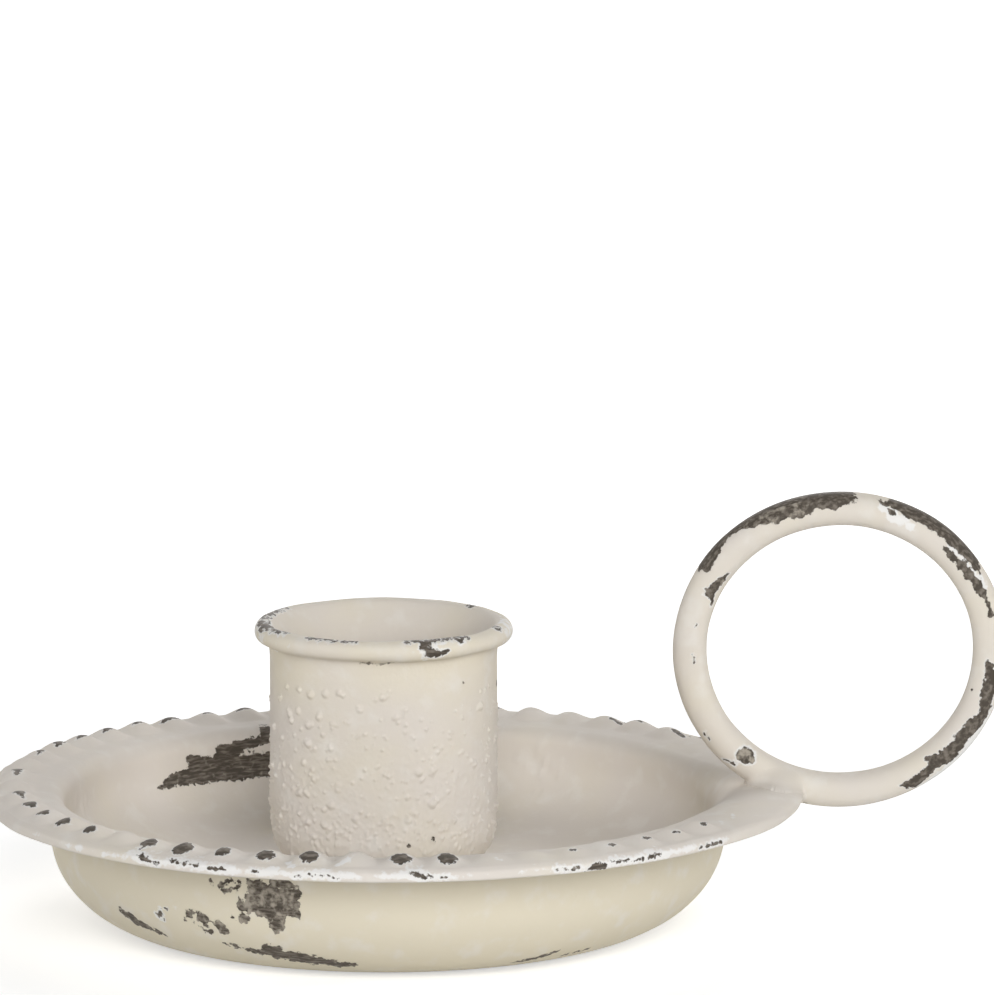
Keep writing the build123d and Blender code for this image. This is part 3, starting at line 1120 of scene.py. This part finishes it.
    def fields(self, grid: Array, turn: Array, rows: dict[Zone, Array]) -> dict[str, Array]:
        """Works out the lost paint and the yellower paint at each point of the pan.

        Args:
            grid: The pan's points.
            turn: The turn of each column.
            rows: Which rows each zone has.

        Returns:
            The attributes that the paint reads.
        """
        radius = np.hypot(grid[..., 0], grid[..., 1])
        height = grid[..., 2]
        turns = turn[None] + 0 * radius
        wear = Wear(turns, radius, grain_of(grid, *self.grain))
        wear.add(self.wall_losses() + self.far_wall.losses(), height, rows[Zone.WALL])
        rim = rows[Zone.EDGE] | (rows[Zone.TOP] & (radius.max(1) > self.edge_inner_radius))
        wear.add(self.edge_losses() + self.far_edge.losses(), height, rim)
        wear.add(self.beads.losses() + self.flange_losses(), radius, rows[Zone.TOP])
        well = rows[Zone.WELL] | (rows[Zone.TOP] & (radius.min(1) < self.well_radius + self.lip_reach))
        wear.add(self.well_losses() + self.near_well.losses(), height, well)
        band = self.edge_primer(turns[rim], radius[rim], height[rim], grid[rim])
        wear.primer[rim] = np.maximum(wear.primer[rim], band)
        outside = rows[Zone.WALL] | rows[Zone.RECESS]
        return wear.fields(np.where(outside[:, None], self.outside_cream, 0.0))

    def build(self, material: bpy.types.Material) -> None:
        """Makes the pan in place of the frame's.

        Args:
            material: Its finish.
        """
        grid, turn, rows = self.surface()
        piece = skin("pan_casting", grid, True, self.fields(grid, turn, rows))
        settle(piece, material, ["dish_pan"])


# The candle cup


@dataclass
class CandleCup:
    """The cup: rounded base, pebbly upright wall, rolled lip, and the bore for the candle.

    Pairs are where something starts and where it is full: the lip by its height and radius, the
    unevenness off the bore and off the base, the sand's roughness and the yellower paint on the
    wall by height. Rubbed places on the lip are a turn and how far off they end and are full. The
    hole's and the floor's ends are the radii of the first and the last row, which fans close.
    """

    columns: int = 640
    offset: float = 0.55
    radius: float = 13.78
    base_height: float = 5.0
    base_round: float = 7.0
    top: float = 37.1
    roll: float = 1.35
    flare: float = 0.67
    flare_height: float = 1.9
    crest_width: float = 0.55
    bore: float = 11.3
    bore_floor: float = 13.0
    bore_corner: float = 2.0
    mouth_depth: float = 7.6
    tapped_radius: float = 2.05
    tapped_top: float = 11.6
    hole_end: float = 0.4
    floor_end: float = 0.3
    crest_gap: float = 0.08
    wander: float = 0.06
    wander_waves: Waves = (8.0, 43)
    lip_wander: float = 0.14
    lip_waves: Waves = (3.2, 44)
    lip_stretch: tuple[float, float, float] = (1.0, 1.0, 0.4)
    roughness: float = 0.05
    rough_waves: Waves = (0.42, 46)
    rough_shift: float = 0.4
    rough_top: float = 1.5
    rough_heights: Pair = (31.0, 15.0)
    taper: float = 0.45
    taper_top: float = 16.5
    taper_reach: float = 9.0
    taper_power: float = 1.4
    smooth_base_radius: float = 8.0
    lip_heights: Pair = (33.0, 34.6)
    lip_radii: Pair = (13.4, 14.2)
    lip_wear_from: float = 32.5
    off_bore: Pair = (11.5, 12.5)
    off_base: Pair = (5.5, 8.0)
    cream_heights: Pair = (25.0, 32.5)
    cream: float = 0.05
    outer_cream: float = 0.3
    rubbed: tuple[tuple[float, float, float], ...] = ((-80.0, 28.0, 5.0), (84.0, 24.0, 8.0))
    rubbed_depth: float = 0.6
    rubbed_least: float = 0.55
    rubbed_ragged: float = 0.3
    grain: Waves = (0.9, 45)
    large_crumbs: int = 110
    small_crumbs: int = 1100
    seed: int = 41

    def profile(self) -> tuple[Array, Array]:
        """Gives the turned profile, from the top of the tapped hole round to the bore's floor.

        The mouth is an arc that starts upright at the bore, so that its radius is
        (depth^2 + width^2) / (2 width), with width how much wider it is at the top.

        Returns:
            The (rows, 1, 2) radii and heights, and which rows are on the outer wall.
        """
        def at(radius: float, height: float) -> Array:
            """Puts a radius and a height side by side."""
            return np.array([[radius, height]])

        under = self.top - 2 * self.roll
        rim = self.radius + self.flare
        base, corner = self.base_height, self.bore_corner
        width = rim - self.crest_width - self.bore
        bend = (self.mouth_depth ** 2 + width ** 2) / (2 * width)
        slope = np.linspace(math.asin(self.mouth_depth / bend), 0, 20, endpoint=False)[1:]
        mouth = np.stack([self.bore + bend * (1 - np.cos(slope)),
                          self.top - self.mouth_depth + bend * np.sin(slope)], -1)[:, None]
        outside = trace(at(self.hole_end, self.tapped_top), [
            (at(self.tapped_radius, self.tapped_top), 2, Bend.NONE),
            (at(self.tapped_radius, base), 2, Bend.NONE),
            (at(self.radius - self.base_round, base), 3, Bend.NONE),
            (at(self.radius, base + self.base_round), 44, Bend.LEVEL),
            (at(self.radius, under - self.flare_height), 130, Bend.NONE),
            (at(rim, under), 10, Bend.UPRIGHT),
            (at(rim + self.roll, under + self.roll), 9, Bend.LEVEL),
            (at(rim, self.top), 9, Bend.UPRIGHT),
            (at(rim - self.crest_width + self.crest_gap, self.top), 3, Bend.NONE)])
        inside = trace(at(self.bore, self.top - self.mouth_depth), [
            (at(self.bore, self.bore_floor + corner), 10, Bend.NONE),
            (at(self.bore - corner, self.bore_floor), 3, Bend.UPRIGHT),
            (at(self.floor_end, self.bore_floor), 3, Bend.NONE)])
        flat = np.concatenate([*outside, mouth, *inside])
        outer = np.arange(len(flat)) < sum(len(part) for part in outside[:6])
        return flat, outer & (flat[:, 0, 0] > self.smooth_base_radius)

    def wall_crumbs(self) -> list[Crumb]:
        """Draws the crumbs that the sand mould left on the wall.

        Large ones, each with a smaller one against it, lie mostly at the front left, and small
        ones all round and closer low down. None are cast on the neck below the lip.

        Returns:
            The crumbs.
        """
        draw = np.random.default_rng(self.seed)
        found = []
        for _ in range(self.large_crumbs):
            turn = draw.normal(-34, 30) if draw.random() < 0.65 else draw.uniform(-180, 180)
            height, half = draw.uniform(8.5, 30.5), draw.uniform(0.28, 0.58)
            found.append(Crumb(turn, height, half, half * draw.uniform(0.5, 0.8)))
            turn += draw.uniform(-2.2, 2.2)
            height += draw.uniform(-0.45, 0.45)
            found.append(Crumb(turn, height, half * 0.7, half * draw.uniform(0.35, 0.6)))
        for _ in range(self.small_crumbs):
            turn = draw.uniform(-180, 180)
            highest = 27.5 + 2.5 * math.sin(math.radians(turn))
            height = draw.uniform(7.5, 15.0) if draw.random() < 0.55 else draw.uniform(12.0, highest)
            half = draw.uniform(0.17, 0.33)
            found.append(Crumb(turn, height, half, half * draw.uniform(0.4, 0.9)))
        return found

    def losses(self) -> list[Loss]:
        """Lists the bare places on the lip, by turns and heights, and a thin dark line of painted shade in
        the crease under it.
        """
        return [
            Loss(((-125.0, 37.08, 0.04), (-112.0, 37.08, 0.1), (-95.0, 37.0, 0.12)), 0.1, 0.15, 0.2),
            Loss(((-92.0, 36.9, 0.14), (-82.0, 36.95, 0.22), (-72.0, 37.05, 0.14), (-52.0, 37.08, 0.08)),
                 0.14, 0.25, 0.2),
            Loss(((-76.0, 36.7, 0.25), (-71.0, 36.5, 0.12)), 0.15, 0.2, 0.3),
            Loss(((-39.0, 37.1, 0.04), (-30.0, 37.1, 0.07), (-22.5, 37.1, 0.09)), 0.1, 0.15, 0.2),
            Loss(((-19.5, 37.1, 0.07), (-12.5, 37.1, 0.07)), 0.06, 0.15, 0.2),
            Loss(((10.0, 37.1, 0.08), (20.0, 37.08, 0.1), (32.0, 37.05, 0.1),
                  (43.5, 37.05, 0.12)), 0.06, 0.15),
            Patch(((15.9, 37.1), (22.0, 37.1), (22.3, 36.7), (20.3, 36.4), (22.1, 36.1), (26.0, 35.95),
                   (29.8, 35.8), (29.0, 35.3), (23.5, 34.95), (17.9, 35.05), (18.9, 35.7), (16.5, 36.3)),
                  0.14, 0.25, 0.1),
            Patch(((33.5, 37.1), (41.0, 37.1), (39.5, 36.7), (37.5, 36.4), (35.5, 36.75)), 0.1, 0.25),
            Loss(((23.5, 36.6, 0.2), (28.0, 36.7, 0.2)), 0.2, bared=Bared.PRIMER),
            Loss(((66.0, 36.95, 0.16), (71.0, 37.0, 0.16)), 0.12, 0.2),
            Loss(((-80.0, 35.0, 0.3), (-76.0, 34.7, 0.1)), 0.15, 0.15, 0.2),
            Loss(((129.0, 37.0, 0.15), (133.0, 37.05, 0.2)), 0.12, 0.1),
            # Painted shade: a thin dark line drawn as bare iron in the crease under the lip's roll, where
            # shade falls.
            Loss(((-11.0, 34.25, 0.04), (-5.0, 34.15, 0.12), (2.0, 34.2, 0.08),
                  (5.0, 34.3, 0.02)), 0.08, film=0.5),
        ]

    def wall_losses(self) -> list[Loss]:
        """Lists the few pin-holes in the paint low on the wall and one on its right edge."""
        spots = ((12.4, 11.8, 0.2), (25.8, 12.3, 0.26), (84.0, 29.4, 0.35), (44.0, 31.2, 0.16),
                 (172.0, 16.0, 0.3))
        return [Loss((spot,), 0.06) for spot in spots]

    def build(self, material: bpy.types.Material) -> None:
        """Makes the cup in place of the frame's.

        The profile is turned, the lip's roll is made a little uneven, and the crumbs, the sand's
        roughness, a taper low on the wall and the casting's slow unevenness are added along the
        normals.

        Args:
            material: Its finish.
        """
        flat, outer = self.profile()
        turn = np.linspace(-180, 180, self.columns, endpoint=False)
        angle = np.radians(turn)
        radius = flat[:, :, 0] + 0 * turn
        height = flat[:, :, 1] + 0 * turn
        grid = np.stack([radius * np.sin(angle), -radius * np.cos(angle), height], -1)
        lip = ease(height, *self.lip_heights) * ease(radius, *self.lip_radii)
        rise = self.wander * waves(grid, *self.wander_waves) * ease(radius, *self.off_bore)
        rise -= lip * (self.wander + self.lip_wander * dents(grid * self.lip_stretch, *self.lip_waves))
        rise[outer] += heap(self.wall_crumbs(), turn, flat[outer, 0, 1], self.radius)
        pebbled = np.clip(waves(grid[outer], *self.rough_waves) + self.rough_shift, 0, self.rough_top)
        rise[outer] += self.roughness * pebbled * ease(height[outer], *self.rough_heights)
        drawn_in = np.clip((self.taper_top - height[outer]) / self.taper_reach, 0, 1)
        rise[outer] -= self.taper * drawn_in ** self.taper_power
        moved = grid + outward(grid, False) * (rise * ease(height, *self.off_base))[..., None]
        moved[..., 0] -= self.offset
        moved[..., 2] = np.minimum(moved[..., 2], self.top)
        wear = Wear(turn[None] + 0 * radius, radius, grain_of(grid, *self.grain))
        wear.add(self.losses(), height, flat[:, 0, 1] > self.lip_wear_from)
        wear.add(self.wall_losses(), height, outer)
        ends = sum(ease(np.abs(wrap(wear.turn - at)), end, full) for at, end, full in self.rubbed)
        depth = self.rubbed_depth * ends - self.rubbed_least + self.rubbed_ragged * wear.grain
        wear.primer = np.maximum(wear.primer, np.where(lip > 0.5, depth, FAR_OUTSIDE))
        outside = np.arange(len(flat))[:, None] < np.argmax(flat[:, 0, 1]) + 1
        cream = self.cream + self.outer_cream * outside * ease(height, *self.cream_heights)
        piece = skin("cup_casting", moved, False, wear.fields(cream))
        settle(piece, material, ["candle_cup"])


# The finger ring and the filler metal at its foot


@dataclass
class FingerRing:
    """The round bar bent to an oval and closed, standing on edge in the XZ plane."""

    columns: int = 64
    rows: int = 700
    bar: float = 2.1
    half_width: float = 18.2
    half_height: float = 17.36
    centre_x: float = 54.8
    centre_z: float = 33.17
    foot_phase: float = 250.0
    still: Pair = (26.0, 40.0)
    wander: float = 0.1
    wander_waves: Waves = (5.0, 61)
    grain: Waves = (0.9, 62)
    cream: float = 0.12

    def centre_line(self, phase: Array) -> Array:
        """Gives the bar's centre line: centre + (a cos p, 0, b sin p), p from +X upwards."""
        return np.stack([self.centre_x + self.half_width * np.cos(phase), 0 * phase,
                         self.centre_z + self.half_height * np.sin(phase)], -1)

    def outwards(self, phase: Array) -> Array:
        """Gives the unit vector square to the centre line, which runs along (cos p / a, 0, sin p / b)."""
        out = np.stack([np.cos(phase) / self.half_width, 0 * phase, np.sin(phase) / self.half_height], -1)
        return out / np.linalg.norm(out, axis=-1, keepdims=True)

    def spokes(self, phase: Array, around: Array) -> Array:
        """Gives unit vectors round the bar: outwards cos q + frontwards sin q, (phases, around, 3)."""
        return self.outwards(phase)[:, None] * np.cos(around)[:, None] + FRONT * np.sin(around)[:, None]

    def losses(self) -> list[Loss]:
        """Lists the bare places, by an angle up from +X and a place round the bar.

        Round the bar is counted in millimetres from its outermost line towards the front.

        Returns:
            The places in front, then those behind.
        """
        return [
            Patch(((148.8, 1.04), (147.0, 2.26), (142.0, 2.26), (133.0, 1.23), (125.0, 1.48), (118.0, 2.48),
                   (111.0, 2.85), (103.0, 3.35), (98.0, 2.74), (93.0, 3.1), (86.0, 2.31), (85.0, 1.32),
                   (87.0, -1.2), (105.0, -1.6), (128.0, -1.3), (147.0, -0.9)), 0.2, film=0.05),
            Loss(((125.0, 1.0, 0.9), (113.0, 1.3, 1.9), (104.0, 1.4, 1.9),
                  (98.0, 1.2, 1.2)), 0.5, film=0.34),
            Patch(((75.0, 1.83), (71.0, 1.9), (64.5, 2.42), (57.0, 2.37), (49.5, 2.48), (43.0, 2.37),
                   (35.0, 2.14), (30.5, 1.83), (32.5, 0.9), (37.0, -0.2), (44.0, -0.7), (52.0, -0.8),
                   (66.0, -1.0), (73.0, 0.2)), 0.22, film=0.05),
            Loss(((47.0, 3.15, 0.3), (40.0, 3.25, 0.5), (33.0, 3.05, 0.55), (26.5, 2.95, 0.55),
                  (22.0, 2.69, 0.32), (14.5, 2.59, 0.25)), 0.25, film=0.12),
            Patch(((143.0, 4.7), (153.5, 3.0), (155.0, 3.6), (158.5, 4.97), (151.0, 4.58)), 0.25, 0.15, 0.3),
            Patch(((357.0, 3.8), (350.0, 3.8), (342.5, 3.65), (335.0, 3.0), (330.0, 3.7), (323.0, 3.8),
                   (312.0, 3.8), (307.0, 4.5), (306.5, 3.4), (304.0, 3.25), (292.5, 2.69), (298.0, 1.1),
                   (307.5, 2.37), (316.0, 1.56), (324.0, 2.31), (332.0, 1.56), (342.0, 1.9), (352.0, 2.2)),
                  0.2, 0.1, 0.1),
            Patch(((225.8, 3.5), (228.0, 2.9), (231.2, 3.1), (233.4, 3.8), (232.4, 4.7), (229.4, 5.1),
                   (226.8, 4.7)), 0.18, 0.3, 0.38),
            Loss(((224.8, 1.6, 0.08), (226.6, 1.95, 0.14), (228.6, 2.1, 0.08)), 0.1, 0.3),
            Loss(((212.6, 1.9, 0.2), (214.6, 2.0, 0.12)), 0.1, 0.15),
            Loss(((256.6, 1.45, 0.16), (257.7, 1.15, 0.24)), 0.1),
            Loss(((342.5, 5.0, 0.12),), 0.2),
            Loss(((168.8, 3.7, 0.16),), 0.1, 0.1, 0.4),
            Loss(((181.0, 3.7, 0.12), (184.0, 3.7, 0.12)), 0.14, 0.1, 0.4),
            Loss(((75.0, 2.2, 0.5), (69.0, 2.9, 0.8), (63.0, 3.3, 0.5)), 0.5, bared=Bared.PRIMER),
            Loss(((76.5, 1.3, 0.3),), 0.35),
            Loss(((72.5, 2.3, 0.25), (70.5, 2.5, 0.2)), 0.3),
            Loss(((46.0, 2.6, 0.4), (36.0, 2.6, 0.5), (27.0, 2.1, 0.5)), 0.4, bared=Bared.PRIMER),
            Loss(((336.0, 1.3, 0.5), (322.0, 1.2, 0.7), (300.0, 1.0, 0.5)), 0.4, bared=Bared.PRIMER),
            Loss(((140.0, -2.4, 0.5), (118.0, -2.6, 1.0), (96.0, -2.2, 0.9)), 0.5, 0.1, 0.35),
            Loss(((66.0, -1.8, 0.6), (50.0, -2.2, 0.9), (34.0, -1.6, 0.7)), 0.4, 0.15, 0.1),
            Loss(((14.0, -3.4, 0.4), (0.0, -3.0, 0.8), (-14.0, -2.8, 0.9)), 0.45, 0.1, 0.2),
            Loss(((318.0, -2.2, 0.3), (304.0, -2.6, 0.6)), 0.4, 0.2, 0.2),
            Loss(((164.0, -4.2, 0.4), (172.0, -3.6, 0.7)), 0.4, 0.2, 0.3),
        ]

    def build(self, material: bpy.types.Material) -> None:
        """Makes the ring in place of the frame's.

        A circle is carried along the centre line: line + r (cos q outwards + sin q frontwards),
        with r a little uneven, as a bent and dipped bar is, but not where the filler meets it.

        Args:
            material: Its finish.
        """
        phase = np.linspace(0, 2 * np.pi, self.rows, endpoint=False)
        line = self.centre_line(phase)[:, None]
        round_bar = np.linspace(0, 2 * np.pi, self.columns, endpoint=False)
        spoke = self.spokes(phase, round_bar)
        free = ease(np.abs(wrap(np.degrees(phase) - self.foot_phase)), *self.still)
        thinner = self.wander * (1 - dents(line + self.bar * spoke, *self.wander_waves))
        radius = self.bar - free[:, None] * thinner
        grid = line + radius[..., None] * spoke
        turn = np.degrees(phase)[:, None] + 0 * radius
        around = self.bar * np.radians(wrap(np.degrees(round_bar))) + 0 * radius
        wear = Wear(turn, 0 * radius + self.half_width, grain_of(grid, *self.grain))
        wear.add(self.losses(), around)
        piece = skin("ring_bar", grid, True, wear.fields(self.cream))
        settle(piece, material, ["finger_ring"])


@dataclass
class RingWeb:
    """The filler metal, which flows in one smooth surface from the ring's bar into the flange."""

    pan: DripPan
    ring: FingerRing
    rows: int = 150
    columns: int = 360
    first_phase: float = 222.0
    last_phase: float = 262.0
    pivot_shift: float = 0.8
    reach: float = 9.0
    steps: int = 36
    halvings: int = 7
    blend: float = 4.4
    blend_inside: float = 0.6
    blend_start: Pair = (43.0, 47.8)
    blend_end: Pair = (-1.2, 2.2)
    blend_top: Pair = (1.0, 2.8)
    blend_top_loss: float = 0.55
    least_blend: float = 1e-6
    lug_under: float = 15.5
    depth: float = 0.4
    sink: float = 0.03
    sink_share: float = 0.15
    grain: Waves = (0.9, 71)
    cream_span: Pair = (0.3, 2.2)

    def ground(self, turn: Array, radius: Array) -> Array:
        """Gives the height of the pan's upper side, with the rounding of its lip and its rim.

        Args:
            turn: Turns in degrees.
            radius: Distances from the pan's axis in millimetres.

        Returns:
            Heights in millimetres.
        """
        lip, edge = self.pan.lip(turn), self.pan.edge(turn)
        past_lip = np.clip((self.pan.well_radius + lip - radius) / lip, 0, 1)
        past_edge = np.clip((radius - self.pan.rim_radius(turn) + edge) / edge, 0, 1)
        edge_height = self.pan.flange_height - self.pan.flange_under - edge / 2
        drop = lip * (1 - np.sqrt(1 - past_lip ** 2)) + edge_height * (1 - np.sqrt(1 - past_edge ** 2))
        return self.pan.top(turn, radius) - drop

    def from_bar(self, points: Array) -> Array:
        """Gives the distances from the bar's surface.

        With u = (x - xc) / a, w = (z - zc) / b and e = sqrt(u^2 + w^2), a point is
        (e - 1) e / sqrt((u / a)^2 + (w / b)^2) off the oval in its plane.

        Args:
            points: Points in millimetres, (..., 3).

        Returns:
            Distances in millimetres, below 0 in the bar.
        """
        across = (points[..., 0] - self.ring.centre_x) / self.ring.half_width
        up = (points[..., 2] - self.ring.centre_z) / self.ring.half_height
        level = np.hypot(across, up)
        slope = np.hypot(across / self.ring.half_width, up / self.ring.half_height)
        return np.hypot((level - 1) * level / slope, points[..., 1]) - self.ring.bar

    def from_flange(self, points: Array) -> tuple[Array, Array]:
        """Gives the distances from the flange with its lug, and the filler's size at each place.

        The distance is the most of those from the upper side, the rim and the lug's underside.

        Args:
            points: Points in millimetres, (..., 3).

        Returns:
            The distances and the sizes.
        """
        radius = np.hypot(points[..., 0], points[..., 1])
        turn = np.degrees(np.arctan2(points[..., 0], -points[..., 1]))
        beyond = radius - self.pan.rim_radius(turn)
        above = points[..., 2] - self.ground(turn, radius)
        size = self.blend_inside + (self.blend - self.blend_inside) * ease(radius, *self.blend_start)
        size *= ease(-beyond, *self.blend_end) * (1 - self.blend_top_loss * ease(above, *self.blend_top))
        lug = self.lug_under - points[..., 2]
        return np.maximum(np.maximum(above, beyond), lug), size + self.least_blend

    def outside(self, points: Array) -> Array:
        """Tells how far points are outside the filler: above 0 outside it, below 0 in it.

        With a and b the distances from the bar and the flange, k the filler's size and
        h = max(k - |a - b|, 0) / k, the surface is where min(a, b) - k h^2 / 4 is 0. It lies a
        little inside the two where h is small, and it stops not far under the flange's face.

        Args:
            points: Points in millimetres, (..., 3).

        Returns:
            About how far they are outside, in millimetres.
        """
        bar = self.from_bar(points)
        flange, size = self.from_flange(points)
        share = np.clip(size - np.abs(bar - flange), 0, None) / size
        sunk = self.sink * (1 - ease(share, 0, self.sink_share))
        joined = np.minimum(bar, flange) - size * share * share / 4 + sunk
        return np.maximum(joined, -flange - self.depth)

    def build(self, material: bpy.types.Material) -> None:
        """Makes the web in place of the frame's filler metal.

        In planes square to the bar, rays run out from a pivot inside the bar. Each is followed
        in equal steps to the first that is outside, and halving finds the crossing.

        Args:
            material: Its finish.
        """
        phase = np.radians(np.linspace(self.first_phase, self.last_phase, self.rows))
        pivot = (self.ring.centre_line(phase) - self.pivot_shift * self.ring.outwards(phase))[:, None]
        ray = self.ring.spokes(phase, np.linspace(0, 2 * np.pi, self.columns, endpoint=False))
        stride = self.reach / self.steps
        far = np.full(ray.shape[:2], self.reach)
        for step in range(self.steps, 0, -1):
            gone = self.outside(pivot + step * stride * ray) > 0
            far = np.where(gone, step * stride, far)
        near = far - stride
        for _ in range(self.halvings):
            middle = (near + far) / 2
            gone = self.outside(pivot + middle[..., None] * ray) > 0
            near, far = np.where(gone, near, middle), np.where(gone, middle, far)
        grid = pivot + far[..., None] * ray
        wear = Wear(np.degrees(phase)[:, None] + 0 * far, 0 * far, grain_of(grid, *self.grain))
        cream = self.ring.cream * ease(self.from_flange(grid)[0], *self.cream_span)
        piece = skin("ring_web", grid, False, wear.fields(cream))
        settle(piece, material, ["ring_braze"])


# The table, the light and the camera


@dataclass(frozen=True)
class Lamp:
    """A square area lamp that faces the part: its place in millimetres and its power in watts."""

    name: str
    place: tuple[float, float, float]
    watts: float


@dataclass
class Studio:
    """A white table in soft light, and the photograph's camera.

    Pixels are those of the photograph. One millimetre at the pan's axis is scale pixels, and the
    pan's foot centre is seen at foot_pixel.
    """

    picture: tuple[int, int] = (994, 995)
    foot_pixel: Pair = (388.42, 917.64)
    scale: float = 8.2
    distance: float = 1085.0
    elevation: float = 12.59
    sensor: float = 36.0
    floor_reach: float = 3000.0
    floor_colour: str = "#F4F4F3"
    floor_glow: float = 0.5
    sky: float = 0.64
    lamp_size: float = 500.0
    lamps: tuple[Lamp, ...] = (
        Lamp("front", (150.0, -900.0, 400.0), 5.6), Lamp("right", (950.0, -100.0, 350.0), 1.5),
        Lamp("left", (-950.0, -100.0, 250.0), 1.3), Lamp("back", (100.0, 800.0, 550.0), 3.8))

    def camera(self) -> None:
        """Sets the camera at its distance, turned so that the foot's centre falls on its pixel.

        With f the focal length in pixels, the foot lies atan(rise / f) below the optical axis,
        and asin(side / f cos d / cos e) to its left, with e the elevation and d what is left of it.
        """
        width, height = self.picture
        focal = self.scale * self.distance
        side = width / 2 - self.foot_pixel[0]
        rise = self.foot_pixel[1] - height / 2
        high = math.radians(self.elevation)
        below = math.atan(rise / focal)
        turn = math.asin(side / focal * math.cos(below) / math.cos(high))
        data = bpy.data.cameras.new("photo_camera")
        data.sensor_width = self.sensor
        data.lens = focal * self.sensor / max(width, height)
        data.clip_end = 2 * self.floor_reach * MM
        eye = add_object("photo_camera", data)
        eye.location = (0, -self.distance * math.cos(high) * MM, self.distance * math.sin(high) * MM)
        eye.rotation_euler = (math.pi / 2 - (high - below), 0, -turn)
        bpy.context.scene.camera = eye

    def hang(self, lamp: Lamp) -> None:
        """Hangs a lamp and turns it to the origin.

        Args:
            lamp: What to hang.
        """
        data = bpy.data.lights.new(lamp.name, "AREA")
        data.size = self.lamp_size * MM
        data.energy = lamp.watts
        hung = add_object(lamp.name, data)
        hung.location = [MM * c for c in lamp.place]
        towards = hung.location.copy()
        towards.negate()
        hung.rotation_euler = towards.to_track_quat("-Z", "Y").to_euler()

    def straight_seen(self, tree: Tree) -> Socket:
        """Gives 1 for what the camera sees straight, by mirroring or through glass, else 0.

        Args:
            tree: Node tree of the sky or of the table's paper.

        Returns:
            The output of the last node.
        """
        seen = None
        for ray in ("Is Camera Ray", "Is Glossy Ray", "Is Transmission Ray"):
            path = add_node(tree, "LightPath", out=ray)
            seen = add_node(tree, "Math", {"operation": "MAXIMUM"}, {0: path, 1: seen}) if seen else path
        return seen

    def sky_light(self) -> None:
        """Lights the scene most from the horizon and not from straight above, and shows white."""
        world = bpy.data.worlds.new("white_room")
        world.use_nodes = True
        tree = world.node_tree
        tree.nodes.clear()
        direction = add_node(tree, "TexCoord", out="Generated")
        upward = add_node(tree, "SeparateXYZ", None, {0: direction}, out="Z")
        level = add_node(tree, "MapRange", None, {0: upward, "To Min": self.sky, "To Max": 0.0})
        strength = add_node(tree, "MapRange", None, {
            0: self.straight_seen(tree), "To Min": level, "To Max": 1.0})
        sky = add_node(tree, "Background", None, {"Color": (1, 1, 1, 1), "Strength": strength})
        add_node(tree, "OutputWorld", None, {"Surface": sky})
        bpy.context.scene.world = world

    def paper(self) -> bpy.types.Material:
        """Makes the table's white paper: matt, and a little brighter to the camera than it is lit."""
        made = empty_material("white_paper")
        tree = made.node_tree
        lit = add_node(tree, "BsdfDiffuse", None, {"Color": linear(self.floor_colour)})
        glow = add_node(tree, "Math", MULTIPLY, {0: self.straight_seen(tree), 1: self.floor_glow})
        shown = add_node(tree, "Emission", None, {"Color": (1, 1, 1, 1), "Strength": glow})
        both = add_node(tree, "AddShader", None, {0: lit, 1: shown})
        add_node(tree, "OutputMaterial", None, {"Surface": both})
        return made

    def floor(self) -> None:
        """Lays the pale table top: a flat square with its corners at the floor's reach."""
        reach = self.floor_reach * MM
        mesh = bpy.data.meshes.new("table_top")
        corners = [(-reach, -reach, 0), (reach, -reach, 0), (reach, reach, 0), (-reach, reach, 0)]
        mesh.from_pydata(corners, [], [(0, 1, 2, 3)])
        mesh.materials.append(self.paper())
        add_object("table_top", mesh)

    def build(self) -> None:
        """Makes the camera, the table, the sky's light and the lamps."""
        self.camera()
        self.floor()
        self.sky_light()
        for lamp in self.lamps:
            self.hang(lamp)


def clear_start_scene() -> None:
    """Removes what a new file holds besides the frame: its cube, lamp and camera."""
    kept = set(frame["nodes"].values()) | set(frame["bodies"].values())
    for item in list(bpy.data.objects):
        if item not in kept:
            bpy.data.objects.remove(item)


def main() -> None:
    logging.basicConfig(level=logging.INFO, format="%(name)s: %(message)s")
    clear_start_scene()
    bpy.context.scene.view_settings.view_transform = "Standard"
    Studio().build()
    pan_paint = ChalkPaint("chalk_paint_on_pan_iron").material()
    cup_paint = ChalkPaint("chalk_paint_on_cup_iron", grain_size=0.6, grain_height=0.045).material()
    ring_paint = ChalkPaint("chalk_paint_on_ring_bar", grain_height=0.02,
                            scratch_stretch=(0.6, 1.4, 0.6)).material()
    pan = DripPan()
    ring = FingerRing()
    pan.build(pan_paint)
    CandleCup().build(cup_paint)
    ring.build(ring_paint)
    RingWeb(pan, ring).build(ring_paint)
    steel = ZincSteel().material()
    for node in ("cup_screw", "cup_washer"):
        settle(frame["nodes"][node], steel)


if __name__ == "__main__":
    main()
